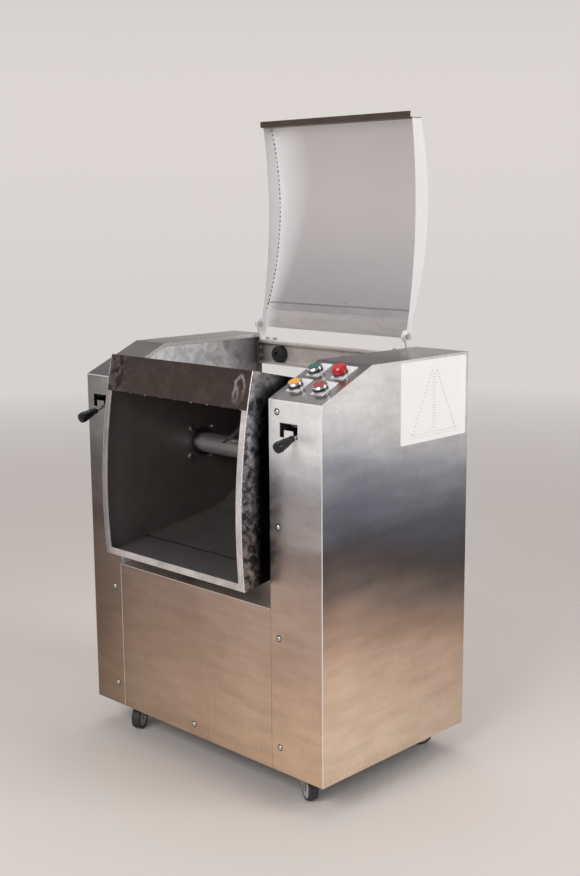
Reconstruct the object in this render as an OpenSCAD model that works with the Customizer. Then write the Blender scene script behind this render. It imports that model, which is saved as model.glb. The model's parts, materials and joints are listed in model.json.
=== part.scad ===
// Tilting-tub mixer on casters. Front is -Y, the viewer's right is +X, up is +Z,
// and the origin lies on the floor under the middle of the whole part.
// The tub is drawn tipped forward, and the lid open.

/* [Cabinet] */
// Width across both towers
cabinet_w = 680; // [660:5:720]
// Depth from the front faces to the rear covers
cabinet_d = 430; // [425:5:450]
// Height of the flat tower tops above the floor
cabinet_h = 840; // [836:1:846]
// Fall of the sloped panels from the tower tops to the front faces
slope_fall = 60; // [56:1:64]
// Front-to-back run of the sloped panels
slope_run = 136; // [130:1:144]
// Clear height under the cabinet's lower edge
ground_gap = 60; // [58:0.5:62]
// Width of the tower that holds the controls and the chain
right_tower_w = 132; // [128:1:136]
// Width of the plain tower
left_tower_w = 94; // [90:1:98]
// Height of the front panel and the deck behind it
deck_h = 380; // [370:1:385]
// Thickness of the cabinet's sheet steel
sheet_t = 1.5; // [1.2:0.1:2]
// Free strip between an inner wall's rear edge and the rear cover
wall_rear_gap = 20; // [18:0.5:22]

/* [Frame] */
// Width of the square frame tubes
tube_w = 25; // [22:0.5:25]
// Height of the frame's underside above the panels' lower edge
frame_lift = 7; // [6:0.25:8]
// Thickness of the plates that carry the tub's bearings
bearing_plate_t = 8; // [6:0.5:9]
// Half height of those plates
bearing_plate_half_h = 75; // [70:1:80]

/* [Tub] */
// Distance of the tub's axis behind the cabinet's middle
axis_inset = 4; // [2:0.5:5]
// Height of the tub's axis, which is also the mixing shaft's, above the deck
axis_rise = 238; // [236:0.5:240]
// How far the tub is tipped forward from mouth-up, in degrees
tip_angle = 86; // [84:0.5:88]
// Gap between the tub's sides and the towers
tub_gap = 20; // [19:0.5:22]
// Outer radius of the tub's round bottom
tub_r = 158; // [154:0.5:160]
// Distance of the mouth's edges from the axis
mouth_lift = 253; // [250:0.5:254]
// Reach of the mouth in front of the axis, with the tub upright
mouth_front = 218; // [214:0.5:220]
// Reach of the mouth behind the axis, with the tub upright
mouth_rear = 197; // [195:0.25:198]
// Rise of the bowed mouth above its straight edges
mouth_bow = 18; // [16:0.5:19]
// Thickness of the tub's sheet steel
tub_t = 2; // [1.5:0.25:3]
// Width of the flat rim round the mouth
rim_w = 15; // [12:0.5:18]
// Thickness of the rim and of the brow plate
rim_t = 3; // [2:0.25:3]
// Width of the brow plate that closes the mouth's rear edge
brow_w = 73; // [65:1:80]
// Depth of the brow plate's folded edge
brow_hem = 8; // [6:0.5:10]

/* [Trunnions] */
// Radius of the flanges bolted to the tub's sides
flange_r = 56; // [54:0.5:58]
// Thickness of those flanges
flange_t = 8; // [6:0.5:9]
// Circle of the four flange bolts
flange_pcd = 88; // [84:1:92]
// Radius of a flange bolt
flange_bolt_r = 4; // [3:0.25:5]
// Radius of the hollow journals
journal_r = 28; // [26:0.5:30]
// Length of the bearing housings
housing_l = 26; // [22:0.5:28]
// Radius of the bearing housings
housing_r = 46; // [42:0.5:50]

/* [Mixing rotor] */
// Radius of the tube round the shaft inside the tub
rotor_tube_r = 22; // [21:0.25:23]
// Radius of the shaft itself
shaft_r = 15; // [14:0.25:16]
// Radius that the paddles sweep
paddle_sweep_r = 146; // [140:1:148]
// Width of a paddle's arm beside the shaft
paddle_arm_w = 40; // [36:1:42]
// Width of a paddle at its tip
paddle_w = 120; // [100:1:130]
// Thickness of a paddle
paddle_t = 7; // [5:0.5:8]
// Angle between a paddle and the shaft, in degrees
paddle_angle = 36; // [34:0.5:38]

/* [Chain drive] */
// Pitch of the roller chain
chain_pitch = 19.05; // [19:0.05:19.2]
// Radius of a chain roller
roller_r = 6; // [5.8:0.05:6.1]
// Width between the chain's inner plates
chain_inner_w = 11.7; // [11.4:0.1:12]
// Thickness of a chain plate
chain_plate_t = 1.9; // [1.7:0.1:2]
// Half height of a chain plate
chain_plate_r = 8; // [7.6:0.1:8.2]
// Radius of a chain pin
chain_pin_r = 2.9; // [2.6:0.1:3]
// Pitches in each straight run of the chain
run_pitches = 21; // [21:1:22]
// Thickness of the sprockets at their teeth
sprocket_t = 10.4; // [10:0.1:10.8]
// Distance of the chain's middle from the inner wall
chain_offset = 64; // [60:1:68]

/* [Gearmotor] */
// Radius of the gearbox and of the motor's flange
gearbox_r = 70; // [66:1:76]
// Length of the gearbox
gearbox_l = 120; // [110:1:130]
// Radius of the motor's round body
motor_r = 58; // [54:1:60]
// Length of the motor's body
motor_l = 150; // [140:1:160]
// Length of the fan cowl
cowl_l = 48; // [44:1:52]
// Radius of the output shaft
output_r = 14; // [12:0.5:15]

/* [Crossbar and buffers] */
// Distance of the crossbar's upper edge below the tower tops
crossbar_drop = 15; // [13:0.5:18]
// Height of the crossbar
crossbar_h = 52; // [50:0.5:53]
// Depth of the crossbar's flanges
crossbar_d = 18; // [17:0.25:18.5]
// Thickness of the crossbar's flanges
crossbar_flange_t = 5; // [4:0.25:6]
// Thickness of the crossbar's web
crossbar_web_t = 3; // [2:0.25:4]
// Radius of a rubber buffer at its foot
buffer_r = 15; // [13:0.25:16]
// Radius of a rubber buffer at its nose
buffer_nose_r = 12; // [10:0.25:12.5]
// Distance of the buffer from the left tower
buffer_inset = 67; // [55:1:80]

/* [Lid] */
// Height of the lid's pivots above the tower tops
hinge_rise = 22; // [20:0.5:24]
// Distance of the lid's pivots in front of the cabinet's rear
hinge_inset = 19; // [18:0.25:20]
// Gap between the lid's cheeks and the towers
lid_gap = 13.5; // [13:0.25:14]
// Reach of the lid's sheet from the pivots to the front flange
lid_reach = 437; // [430:1:440]
// Length of the flat strip above the pivots
lid_strip = 33; // [30:0.5:36]
// Offset of the flat strip behind the pivots
lid_strip_offset = 19; // [18.5:0.25:21]
// Offset of the sheet's front end behind the pivots
lid_end_offset = 43; // [40:0.5:46]
// Radius of the lid's arc
lid_arc_r = 590; // [570:5:620]
// Thickness of the lid's sheet steel
lid_t = 1.5; // [1.2:0.1:2]
// Offset of the front flange's free edge behind the pivots
lid_flange_offset = 8; // [6:0.5:10]
// Width of the grip lip along the front flange
lid_lip_w = 13; // [11:0.5:15]
// Radius of the hinge pins
hinge_pin_r = 4; // [3.5:0.1:4.5]

/* [Latches] */
// Distance of the latch bars below the front faces' upper edges
latch_fall = 49; // [48:0.5:51]
// Distance of the latch bars behind the front faces
latch_depth = 44; // [43:0.5:46]
// Radius of a latch bar
latch_r = 8; // [7:0.25:8.5]
// Radius of a latch stem
latch_stem_r = 4; // [3.5:0.1:4.2]
// Fall of a lowered latch stem towards the front, in degrees
latch_drop = 17; // [16:0.5:18]
// Distance of the outer leg of a slot from the tower's inner edge
slot_outer = 73; // [71:0.5:74]
// Width of a slot from leg to leg
slot_w = 45; // [42:0.5:46]
// Width of a slot's legs
slot_leg_w = 11; // [10:0.25:12]
// Length of a latch knob
knob_l = 44; // [38:1:48]
// Radius of a latch knob at its end
knob_r = 11; // [9:0.25:12]
// Distance from the front face to the left knob
left_knob_gap = 26; // [16:1:30]
// Distance from the front face to the right knob
right_knob_gap = 8; // [8:1:24]

/* [Controls] */
// Distance of the first column of controls from the tower's inner edge
control_inset = 31; // [30:0.5:34]
// Distance between the two columns of controls
control_pitch_x = 62; // [56:1:66]
// Distance of the first row up the slope
control_row = 46; // [42:1:50]
// Distance between the two rows of controls
control_pitch_s = 58; // [54:1:62]
// Radius of a control's head
control_r = 14.7; // [14:0.1:15]
// Radius of the hole that a control fits
control_hole_r = 11.15; // [11.1:0.05:11.5]
// Height of the black collar under a control's ring
collar_h = 6; // [5:0.25:8]
// Height of the bright ring round a button
ring_h = 7; // [6:0.25:8]
// Travel of a push button
button_travel = 3.5; // [2:0.25:4]
// Width of a legend plate
legend_w = 30; // [29:0.5:32]
// Length of a legend plate
legend_l = 47; // [44:1:50]
// Thickness of a legend plate
legend_t = 1.2; // [1:0.1:1.5]

/* [Casters] */
// Radius of a caster wheel
wheel_r = 25; // [24:0.25:25.5]
// Width of a caster wheel
wheel_w = 20; // [18:0.5:22]
// Offset of a wheel's axle behind its swivel axis
caster_trail = 18; // [16:0.5:20]
// Distance of the swivel axes from the cabinet's sides
caster_inset_x = 90; // [85:1:95]
// Distance of the swivel axes from the cabinet's front and rear
caster_inset_y = 52; // [50:0.5:58]
// Turn of each caster about its swivel axis, in degrees
caster_turns = [28, 62, 118, 152]; // [0:1:180]

/* [Fits] */
// Radial clearance of a shaft or pin that turns in a bore
running_gap = 0.05; // [0.03:0.01:0.08]
// Clearance between pieces that pass each other
pass_gap = 0.3; // [0.3:0.05:0.4]
// Radius of a panel screw
screw_r = 2.5; // [2:0.25:3]

/* [Hidden] */
$fn = 48;
// Overrun of a cut past the face that it opens
cut = 1;
STEEL = [0.78, 0.78, 0.79];
DULL_STEEL = [0.62, 0.63, 0.65];
BLACK = [0.08, 0.08, 0.09];
BLUE_PAINT = [0.16, 0.28, 0.45];
CAST = [0.45, 0.46, 0.48];
BRONZE = [0.72, 0.52, 0.28];
half_w = cabinet_w / 2;
// Heights above the floor
front_h = cabinet_h - slope_fall;
axis_z = deck_h + axis_rise;
latch_z = front_h - latch_fall;
crossbar_z = cabinet_h - crossbar_drop - crossbar_h;
hinge_z = cabinet_h + hinge_rise;
// Centre of an arc of radius r from a to c
function arc_centre(a, c, r) = let (d = c - a, h = norm(d) / 2)
    (a + c) / 2 + [d[1], -d[0]] / norm(d) * sqrt(r * r - h * h);
arc_a = [lid_strip, lid_strip_offset + lid_t * 2];
arc_c = [lid_reach, lid_end_offset];
lid_centre = arc_centre(arc_a, arc_c, lid_arc_r);
knob_end_share = 0.6;
// Reach of the left knob in front of the front faces, and of the open lid behind the rear
knob_reach = (left_knob_gap + knob_l) * cos(latch_drop) + knob_r * knob_end_share * sin(latch_drop);
lid_reach_behind = lid_arc_r + lid_centre[1] - hinge_inset;
// The origin stands under the middle of the whole part, knobs and open lid included
front_y = (knob_reach - lid_reach_behind - cabinet_d) / 2;
rear_y = front_y + cabinet_d;
axis_y = (front_y + rear_y) / 2 + axis_inset;
left_wall_x = -half_w + left_tower_w;
right_wall_x = half_w - right_tower_w;
mid_x = (left_wall_x + right_wall_x) / 2;
slope_angle = atan((cabinet_h - front_h) / slope_run);
frame_z = ground_gap + frame_lift;
// Lean of a wall that starts at a mouth edge and touches the round bottom
function lean(reach) = asin(reach / norm([reach, mouth_lift])) - asin(tub_r / norm([reach, mouth_lift]));
front_lean = lean(mouth_front);
rear_lean = lean(mouth_rear);
hinge_lug_r = 13;
collar_l = 10;
// Chain drive: the sprockets and the chain share one pitch, and a tooth gap stands
// half a step to each side of the line through both axes
driven_teeth = 24;
drive_teeth = 12;
function pitch_r(teeth) = chain_pitch / (2 * sin(180 / teeth));
// Half wrap, in steps, of the last roller seated on each sprocket
driven_wrap = 6.5;
drive_wrap = 2.5;
driven_end = driven_wrap * 360 / driven_teeth;
drive_end = drive_wrap * 360 / drive_teeth;
run_side = pitch_r(driven_teeth) * sin(driven_end) - pitch_r(drive_teeth) * sin(drive_end);
run_rise = sqrt(pow(run_pitches * chain_pitch, 2) - run_side * run_side);
chain_centres = run_rise - pitch_r(driven_teeth) * cos(driven_end) - pitch_r(drive_teeth) * cos(drive_end);

// Corners of a tower seen from the side, moved in by n, open past the rear and the bottom
function tower_outline(n, over) = [
    [front_y + n, ground_gap - over],
    [rear_y + over, ground_gap - over],
    [rear_y + over, cabinet_h - n],
    [front_y + slope_run + n * tan(slope_angle / 2), cabinet_h - n],
    [front_y + n, front_h - n * (1 / cos(slope_angle) - tan(slope_angle))]];

// Box between two corners
module box(low, high) {
    translate(low) cube(high - low);
}

// Extrudes a drawing made in Y and Z from x0 to x1
module along_x(x0, x1) {
    translate([x0, 0, 0]) rotate([90, 0, 90]) linear_extrude(x1 - x0) children();
}

// Round bar along X
module x_bar(r, x0, x1) {
    translate([x0, 0, 0]) rotate([0, 90, 0]) cylinder(r = r, h = x1 - x0);
}

// Round bar along X that tapers from r0 to r1
module x_cone(r0, r1, x0, x1) {
    translate([x0, 0, 0]) rotate([0, 90, 0]) cylinder(r1 = r0, r2 = r1, h = x1 - x0);
}

// Round bar along Y
module y_bar(r, y0, y1) {
    translate([0, y1, 0]) rotate([90, 0, 0]) cylinder(r = r, h = y1 - y0);
}

// Hexagonal bolt head or nut, its axis along Z
module hex(r, h) {
    cylinder(r = r, h = h, $fn = 6);
}

// Places its children on the tub's axis
module at_axis() {
    translate([0, axis_y, axis_z]) children();
}

// Places what is drawn for an upright tub in the tipped pose
module tipped() {
    at_axis() rotate([tip_angle, 0, 0]) children();
}

// Cabinet sheets
slot_leg_shares = [0, 1];
slot_top = latch_z + (latch_stem_r + pass_gap) * 2;
// The stem crosses the front face this far below the latch bar when it is lowered
stem_fall = latch_depth * tan(latch_drop);
slot_bottom = latch_z - stem_fall - latch_stem_r / cos(latch_drop) - pass_gap;
slot_bar_h = slot_top - latch_z + latch_stem_r + pass_gap;

// Slot that guides a latch stem: a bar with a leg at each end
module latch_slot(x0) {
    box([x0, front_y - cut, slot_top - slot_bar_h], [x0 + slot_w, front_y + sheet_t + cut, slot_top]);
    for (share = slot_leg_shares)
        translate([x0 + share * (slot_w - slot_leg_w), 0, 0])
            box([0, front_y - cut, slot_bottom], [slot_leg_w, front_y + sheet_t + cut, slot_top]);
}

right_slot_x = right_wall_x + slot_outer - slot_w;
left_slot_x = left_wall_x - slot_outer;

// Heights of the panel screws on the tower fronts, as shares of the panel height
screw_shares = [0.067, 0.37, 0.67, 0.97];
screw_inset = 21;
function screw_z(share) = ground_gap + share * (front_h - ground_gap);

module front_screw_holes(x) {
    for (share = screw_shares)
        translate([x, 0, screw_z(share)]) y_bar(screw_r, front_y - cut, front_y + sheet_t + cut);
}

// Lip folded down from the slope and the top, over the inner wall's upper edge
lip_drop = 8;
module casing_lip(x0) {
    along_x(x0, x0 + sheet_t) difference() {
        intersection() {
            polygon(tower_outline(0, 0));
            translate([front_y, front_h - lip_drop]) square([cabinet_d, cabinet_h]);
        }
        polygon(tower_outline(lip_drop, cut));
        translate([front_y - cut, 0]) square([sheet_t * 2 + cut, front_h]);
    }
}

// Folded sheet that forms a tower's outer side, front, slope and top
module tower_casing(x_out, x_in) {
    low = min(x_out, x_in);
    high = max(x_out, x_in);
    wall = x_out < x_in ? [sheet_t, cut] : [-cut, -sheet_t];
    casing_lip(x_out < x_in ? x_in : x_in - sheet_t);
    difference() {
        along_x(low, high) polygon(tower_outline(0, 0));
        along_x(low + wall[0], high + wall[1]) polygon(tower_outline(sheet_t, cut));
        children();
    }
}

module left_tower_casing() {
    color(STEEL) tower_casing(-half_w, left_wall_x) {
        union() {
            latch_slot(left_slot_x);
            front_screw_holes(left_wall_x - screw_inset);
        }
    }
}

// Places its children on the right tower's slope, Z pointing out of the panel
module on_slope(x, s) {
    translate([x, front_y + s * cos(slope_angle), front_h + s * sin(slope_angle)])
        rotate([slope_angle, 0, 0]) children();
}

control_xs = [right_wall_x + control_inset, right_wall_x + control_inset + control_pitch_x];
control_rows = [control_row, control_row + control_pitch_s];
// Column and row of each button, and of the lamp
BUTTON_PLACES = [[0, 1], [0, 0], [1, 0]];
LAMP_PLACE = [1, 1];

module at_control(place) {
    on_slope(control_xs[place[0]], control_rows[place[1]]) children();
}

module right_tower_casing() {
    color(STEEL) tower_casing(half_w, right_wall_x) {
        union() {
            latch_slot(right_slot_x);
            front_screw_holes(right_wall_x + screw_inset);
            for (place = concat(BUTTON_PLACES, [LAMP_PLACE]))
                at_control(place) translate([0, 0, -sheet_t - cut])
                    cylinder(r = control_hole_r, h = sheet_t + cut * 2);
        }
    }
}

// Inner wall of a tower, with the trunnion's hole and the latch bar's hole
wall_hole_r = journal_r + 4;
module inner_wall(x0) {
    difference() {
        along_x(x0, x0 + sheet_t) intersection() {
            polygon(tower_outline(sheet_t, 0));
            translate([front_y, deck_h]) square([cabinet_d - wall_rear_gap, cabinet_h - deck_h]);
        }
        at_axis() x_bar(wall_hole_r, x0 - cut, x0 + sheet_t + cut);
        translate([0, front_y + latch_depth, latch_z])
            x_bar(latch_r + pass_gap, x0 - cut, x0 + sheet_t + cut);
    }
}

module left_inner_wall() {
    color(DULL_STEEL) inner_wall(left_wall_x - sheet_t);
}

module right_inner_wall() {
    color(DULL_STEEL) inner_wall(right_wall_x);
}

// Lower front sheet with side returns behind the tower fronts
panel_return = 18;
module front_panel() {
    color(STEEL) difference() {
        union() {
            box([left_wall_x, front_y, ground_gap], [right_wall_x, front_y + sheet_t, deck_h]);
            for (x = [left_wall_x, right_wall_x - sheet_t])
                box([x, front_y, frame_z + tube_w],
                    [x + sheet_t, front_y + panel_return, deck_h - sheet_t]);
        }
        translate([mid_x, 0, screw_z(screw_shares[0]) - tube_w])
            y_bar(screw_r, front_y - cut, front_y + sheet_t + cut);
    }
}

module base_deck() {
    color(DULL_STEEL) box([left_wall_x, front_y + sheet_t, deck_h - sheet_t],
        [right_wall_x, rear_y - sheet_t, deck_h]);
}

// Ventilation slots: a block of slots in a rear sheet
vent_w = 44;
vent_h = 5;
vent_pitch = 13;
vent_count = 6;
module vent_slots(x, z) {
    for (i = [0 : vent_count - 1])
        box([x - vent_w / 2, rear_y - sheet_t - cut, z + i * vent_pitch],
            [x + vent_w / 2, rear_y + cut, z + i * vent_pitch + vent_h]);
}

gland_r = 10;
gland_z = frame_z + tube_w * 2.4;
gland_x = right_wall_x - tube_w * 2.4;
module rear_panel() {
    color(STEEL) difference() {
        box([left_wall_x, rear_y - sheet_t, ground_gap], [right_wall_x, rear_y, deck_h]);
        for (side = [-1, 1])
            vent_slots(mid_x + side * (vent_w + vent_h), deck_h - tube_w * 2 - vent_pitch * vent_count);
        translate([gland_x, 0, gland_z]) y_bar(gland_r, rear_y - sheet_t - cut, rear_y + cut);
    }
}

module rear_cover(x0, x1) {
    difference() {
        box([x0, rear_y - sheet_t, ground_gap], [x1, rear_y, cabinet_h - sheet_t]);
        vent_slots((x0 + x1) / 2, cabinet_h - tube_w * 4 - vent_pitch * vent_count);
        vent_slots((x0 + x1) / 2, deck_h - tube_w * 2 - vent_pitch * vent_count);
        box([crossbar_x0, rear_y - sheet_t - cut, crossbar_z], [crossbar_x1, rear_y + cut, crossbar_top]);
    }
}

// The covers are notched where the crossbar's ends reach into the towers
module tower_rear_covers() {
    color(STEEL) {
        rear_cover(-half_w + sheet_t, left_wall_x);
        rear_cover(right_wall_x, half_w - sheet_t);
    }
}

// Domed screw that passes through a front sheet, seen from the front
module panel_screw() {
    y_bar(screw_r - pass_gap, front_y, front_y + tube_w / 3);
    intersection() {
        y_bar(screw_r * 2, front_y - screw_r, front_y);
        translate([0, front_y + screw_r, 0]) sphere(r = screw_r * 2);
    }
}

module panel_screws() {
    color(STEEL) at_front_screws() panel_screw();
}

// Welded frame: base ring, tower posts, bearing plates and gearmotor rails
frame_x = half_w - sheet_t;
frame_y0 = front_y + sheet_t;
frame_y1 = rear_y - sheet_t;
// The gearmotor stands under the mixing shaft, with its feet on the rails
drive_y = axis_y;
drive_z = axis_z - chain_centres;
gearbox_feet_z = drive_z - gearbox_r - tube_w / 2;
gearbox_x1 = right_wall_x - tube_w / 2;
gearbox_x0 = gearbox_x1 - gearbox_l;
rail_w = gearbox_r;

module tower_posts(x0) {
    box([x0, frame_y0, frame_z], [x0 + tube_w, frame_y0 + tube_w, front_h - tube_w / 2]);
    box([x0, frame_y1 - tube_w, frame_z], [x0 + tube_w, frame_y1, cabinet_h - sheet_t]);
}

module bearing_plate(x0) {
    difference() {
        box([x0, frame_y0 + tube_w, axis_z - bearing_plate_half_h],
            [x0 + bearing_plate_t, frame_y1 - tube_w, axis_z + bearing_plate_half_h]);
        at_axis() x_bar(wall_hole_r, x0 - cut, x0 + bearing_plate_t + cut);
    }
}

module at_front_screws() {
    for (x = [left_wall_x - screw_inset, right_wall_x + screw_inset])
        for (share = screw_shares) translate([x, 0, screw_z(share)]) children();
    translate([mid_x, 0, screw_z(screw_shares[0]) - tube_w]) children();
}

module frame() {
    color(BLACK) difference() {
        frame_members();
        at_front_screws() y_bar(screw_r, front_y, front_y + tube_w / 2);
    }
}

module frame_members() {
    union() {
        difference() {
            box([-frame_x, frame_y0, frame_z], [frame_x, frame_y1, frame_z + tube_w]);
            box([-frame_x + tube_w, frame_y0 + tube_w, frame_z - cut],
                [frame_x - tube_w, frame_y1 - tube_w, frame_z + tube_w + cut]);
        }
        // Members that carry the casters and, on the right, the gearmotor's rails
        for (side = [-1, 1])
            box([side * (half_w - caster_inset_x) - caster_pad_w / 2, frame_y0 + tube_w, frame_z],
                [side * (half_w - caster_inset_x) + caster_pad_w / 2, frame_y1 - tube_w,
                    frame_z + tube_w / 2]);
        for (side = [0, 1])
            box([gearbox_x0 - motor_l / 2, drive_y - rail_w + side * (rail_w * 2 - tube_w), frame_z],
                [gearbox_x1, drive_y - rail_w + tube_w + side * (rail_w * 2 - tube_w), gearbox_feet_z]);
        for (x = [gearbox_x0 - motor_l / 2, gearbox_x1 - tube_w])
            box([x, frame_y0 + tube_w, frame_z], [x + tube_w, frame_y1 - tube_w, frame_z + tube_w]);
        tower_posts(left_wall_x - sheet_t - tube_w);
        tower_posts(right_wall_x + sheet_t);
        bearing_plate(left_wall_x - sheet_t - bearing_plate_t);
        bearing_plate(right_wall_x + sheet_t);
    }
}

// Crossbar: a channel that opens to the front, bolted between the rear posts
crossbar_x0 = left_wall_x - sheet_t;
crossbar_x1 = right_wall_x + sheet_t;
crossbar_y = rear_y - crossbar_d;
crossbar_top = crossbar_z + crossbar_h;
end_plate_t = 5;
m6_r = 3;
crossbar_bolt_shares = [0.34, 0.7];
buffer_x = left_wall_x + buffer_inset;
buffer_z = crossbar_z + crossbar_h * 0.46;

module at_crossbar_bolts() {
    for (share = crossbar_bolt_shares)
        translate([0, crossbar_y + crossbar_d * 0.5, crossbar_z + share * crossbar_h]) children();
}

module at_bracket_bolts() {
    for (side = [-1, 1])
        for (step = bracket_bolt_steps)
            translate([mid_x + side * (bracket_x - step), bracket_bolt_y, 0]) children();
}

module crossbar() {
    color(DULL_STEEL) difference() {
        union() {
            box([crossbar_x0, rear_y - crossbar_web_t, crossbar_z],
                [crossbar_x1, rear_y, crossbar_top]);
            for (z = [crossbar_z, crossbar_top - crossbar_flange_t])
                box([crossbar_x0, crossbar_y, z], [crossbar_x1, rear_y, z + crossbar_flange_t]);
            for (x = [crossbar_x0, crossbar_x1 - end_plate_t])
                box([x, crossbar_y, crossbar_z], [x + end_plate_t, rear_y, crossbar_top]);
        }
        at_crossbar_bolts() x_bar(m6_r, crossbar_x0 - cut, crossbar_x1 + cut);
        translate([buffer_x, 0, buffer_z])
            y_bar(m6_r, rear_y - crossbar_web_t - cut, rear_y + cut);
        at_bracket_bolts() translate([0, 0, crossbar_top - crossbar_flange_t - cut])
            cylinder(r = m6_r, h = crossbar_flange_t + cut * 2);
    }
}

// Bolts of the crossbar's ends, of the lid brackets and of the buffers
m6_shank = 12;
m6_head_h = 4;
m6_head_r = 5.2;
module crossbar_bolts() {
    color(STEEL) {
        at_crossbar_bolts() {
            x_bar(m6_r - pass_gap, crossbar_x0, crossbar_x0 + end_plate_t);
            translate([crossbar_x0 + end_plate_t, 0, 0]) rotate([0, 90, 0]) hex(m6_head_r, m6_head_h);
            x_bar(m6_r - pass_gap, crossbar_x1 - end_plate_t, crossbar_x1);
            translate([crossbar_x1 - end_plate_t, 0, 0]) rotate([0, -90, 0]) hex(m6_head_r, m6_head_h);
        }
        translate([buffer_x, 0, buffer_z]) {
            y_bar(m6_r - pass_gap, buffer_nose_y + buffer_recess, rear_y);
            y_bar(m6_head_r, buffer_nose_y + buffer_recess - m6_head_h, buffer_nose_y + buffer_recess);
        }
        at_bracket_bolts() {
            translate([0, 0, crossbar_top + bracket_t]) hex(m6_head_r, m6_head_h);
            translate([0, 0, crossbar_top - crossbar_flange_t])
                cylinder(r = m6_r - pass_gap, h = crossbar_flange_t + bracket_t);
        }
    }
}

// Where the tub's rear wall stands when the tub is upright, at a height above the axis
function upright_rear_y(h) = axis_y + mouth_rear - (mouth_lift - h) * tan(rear_lean);
buffer_nose_y = upright_rear_y(buffer_z + buffer_nose_r - axis_z) + pass_gap * 2;

// Depth of the hole in a buffer's nose that its screw's head lies in
buffer_recess = 11;
// Rubber buffer of a given length, its foot at the origin and its nose towards -Z
module buffer(l) {
    difference() {
        union() {
            translate([0, 0, -l / 2]) cylinder(r = buffer_r, h = l / 2);
            translate([0, 0, -l]) cylinder(r1 = buffer_nose_r, r2 = buffer_r, h = l / 2);
        }
        translate([0, 0, -l - cut]) cylinder(r = buffer_nose_r / 2, h = buffer_recess + cut);
        translate([0, 0, -l - cut]) cylinder(r = m6_r, h = l + cut * 2);
    }
}

// One buffer stops the upright tub at the crossbar, one carries the tipped tub
rest_buffer_x = left_wall_x + buffer_inset;
rest_buffer_y = axis_y - tub_r * 0.55;
// Underside of the tipped tub over the rest buffer
rest_wall_angle = front_lean - (90 - tip_angle);
tipped_front_z = axis_z - tub_r / cos(rest_wall_angle);
rest_buffer_top = tipped_front_z + (rest_buffer_y - buffer_nose_r - axis_y) * tan(rest_wall_angle)
    - pass_gap * 2;
rest_buffer_l = rear_y - crossbar_web_t - buffer_nose_y;
module tub_buffers() {
    color(BLACK) {
        translate([buffer_x, rear_y - crossbar_web_t, buffer_z]) rotate([-90, 0, 0])
            buffer(rear_y - crossbar_web_t - buffer_nose_y);
        translate([rest_buffer_x, rest_buffer_y, rest_buffer_top - rest_buffer_l])
            mirror([0, 0, 1]) buffer(rest_buffer_l);
        translate([rest_buffer_x, rest_buffer_y, deck_h])
            cylinder(r = buffer_r, h = rest_buffer_top - rest_buffer_l - deck_h);
    }
}

// Lid: its own drawing has the pivot at the origin, X up along the open lid and Y to the rear
hinge_y = rear_y - hinge_inset;
lid_half_w = (right_wall_x - left_wall_x) / 2 - lid_gap;
mouth_half = (mouth_front + mouth_rear) / 2;
mouth_bow_r = (mouth_half * mouth_half + mouth_bow * mouth_bow) / (2 * mouth_bow);
cheek_foot = [-hinge_lug_r / 2, 1];
cheek_end = [lid_reach, lid_flange_offset * 2];
cheek_centre = arc_centre(cheek_foot, cheek_end, mouth_bow_r);
lid_foot = -hinge_lug_r / 2;

// Places the lid's drawing at the open lid, spanning x0 to x1
module on_lid(x0, x1) {
    translate([0, hinge_y, hinge_z]) along_x(x0, x1) mirror([1, 0]) rotate(90) children();
}

module lid_band(r_out, r_in) {
    intersection() {
        translate(lid_centre) difference() {
            circle(r = r_out, $fn = 180);
            circle(r = r_in, $fn = 180);
        }
        translate([lid_strip, 0]) square([lid_reach - lid_strip, lid_arc_r]);
    }
}

module lid_sheet() {
    color(STEEL) on_lid(mid_x - lid_half_w + lid_t, mid_x + lid_half_w - lid_t) {
        lid_band(lid_arc_r, lid_arc_r - lid_t);
        polygon([[lid_foot, lid_strip_offset], arc_a - [0, lid_t], arc_a,
            [lid_foot, lid_strip_offset + lid_t]]);
    }
}

module lid_cheek(x0) {
    difference() {
        on_lid(x0, x0 + lid_t) difference() {
            union() {
                intersection() {
                    translate(lid_centre) circle(r = lid_arc_r, $fn = 180);
                    translate([lid_strip, 0]) square([lid_reach - lid_strip, lid_arc_r]);
                }
                polygon([[lid_foot, 0], [lid_strip, 0], arc_a, [lid_foot, lid_strip_offset + lid_t]]);
                circle(r = hinge_lug_r);
            }
            difference() {
                translate(cheek_centre) circle(r = mouth_bow_r, $fn = 240);
                circle(r = hinge_lug_r);
            }
        }
        translate([0, hinge_y, hinge_z]) x_bar(hinge_pin_r + running_gap, x0 - cut, x0 + lid_t + cut);
    }
}

module left_lid_cheek() {
    color(STEEL) lid_cheek(mid_x - lid_half_w);
}

module right_lid_cheek() {
    color(STEEL) lid_cheek(mid_x + lid_half_w - lid_t);
}

// Front flange of the lid with its grip lip
module lid_lip() {
    color(DULL_STEEL) on_lid(mid_x - lid_half_w, mid_x + lid_half_w)
        polygon([[lid_reach, lid_flange_offset], [lid_reach + lid_lip_w, lid_flange_offset],
            [lid_reach + lid_lip_w, lid_flange_offset + lid_t],
            [lid_reach + lid_t, lid_flange_offset + lid_t],
            [lid_reach + lid_t, lid_end_offset], [lid_reach, lid_end_offset]]);
}

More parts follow.
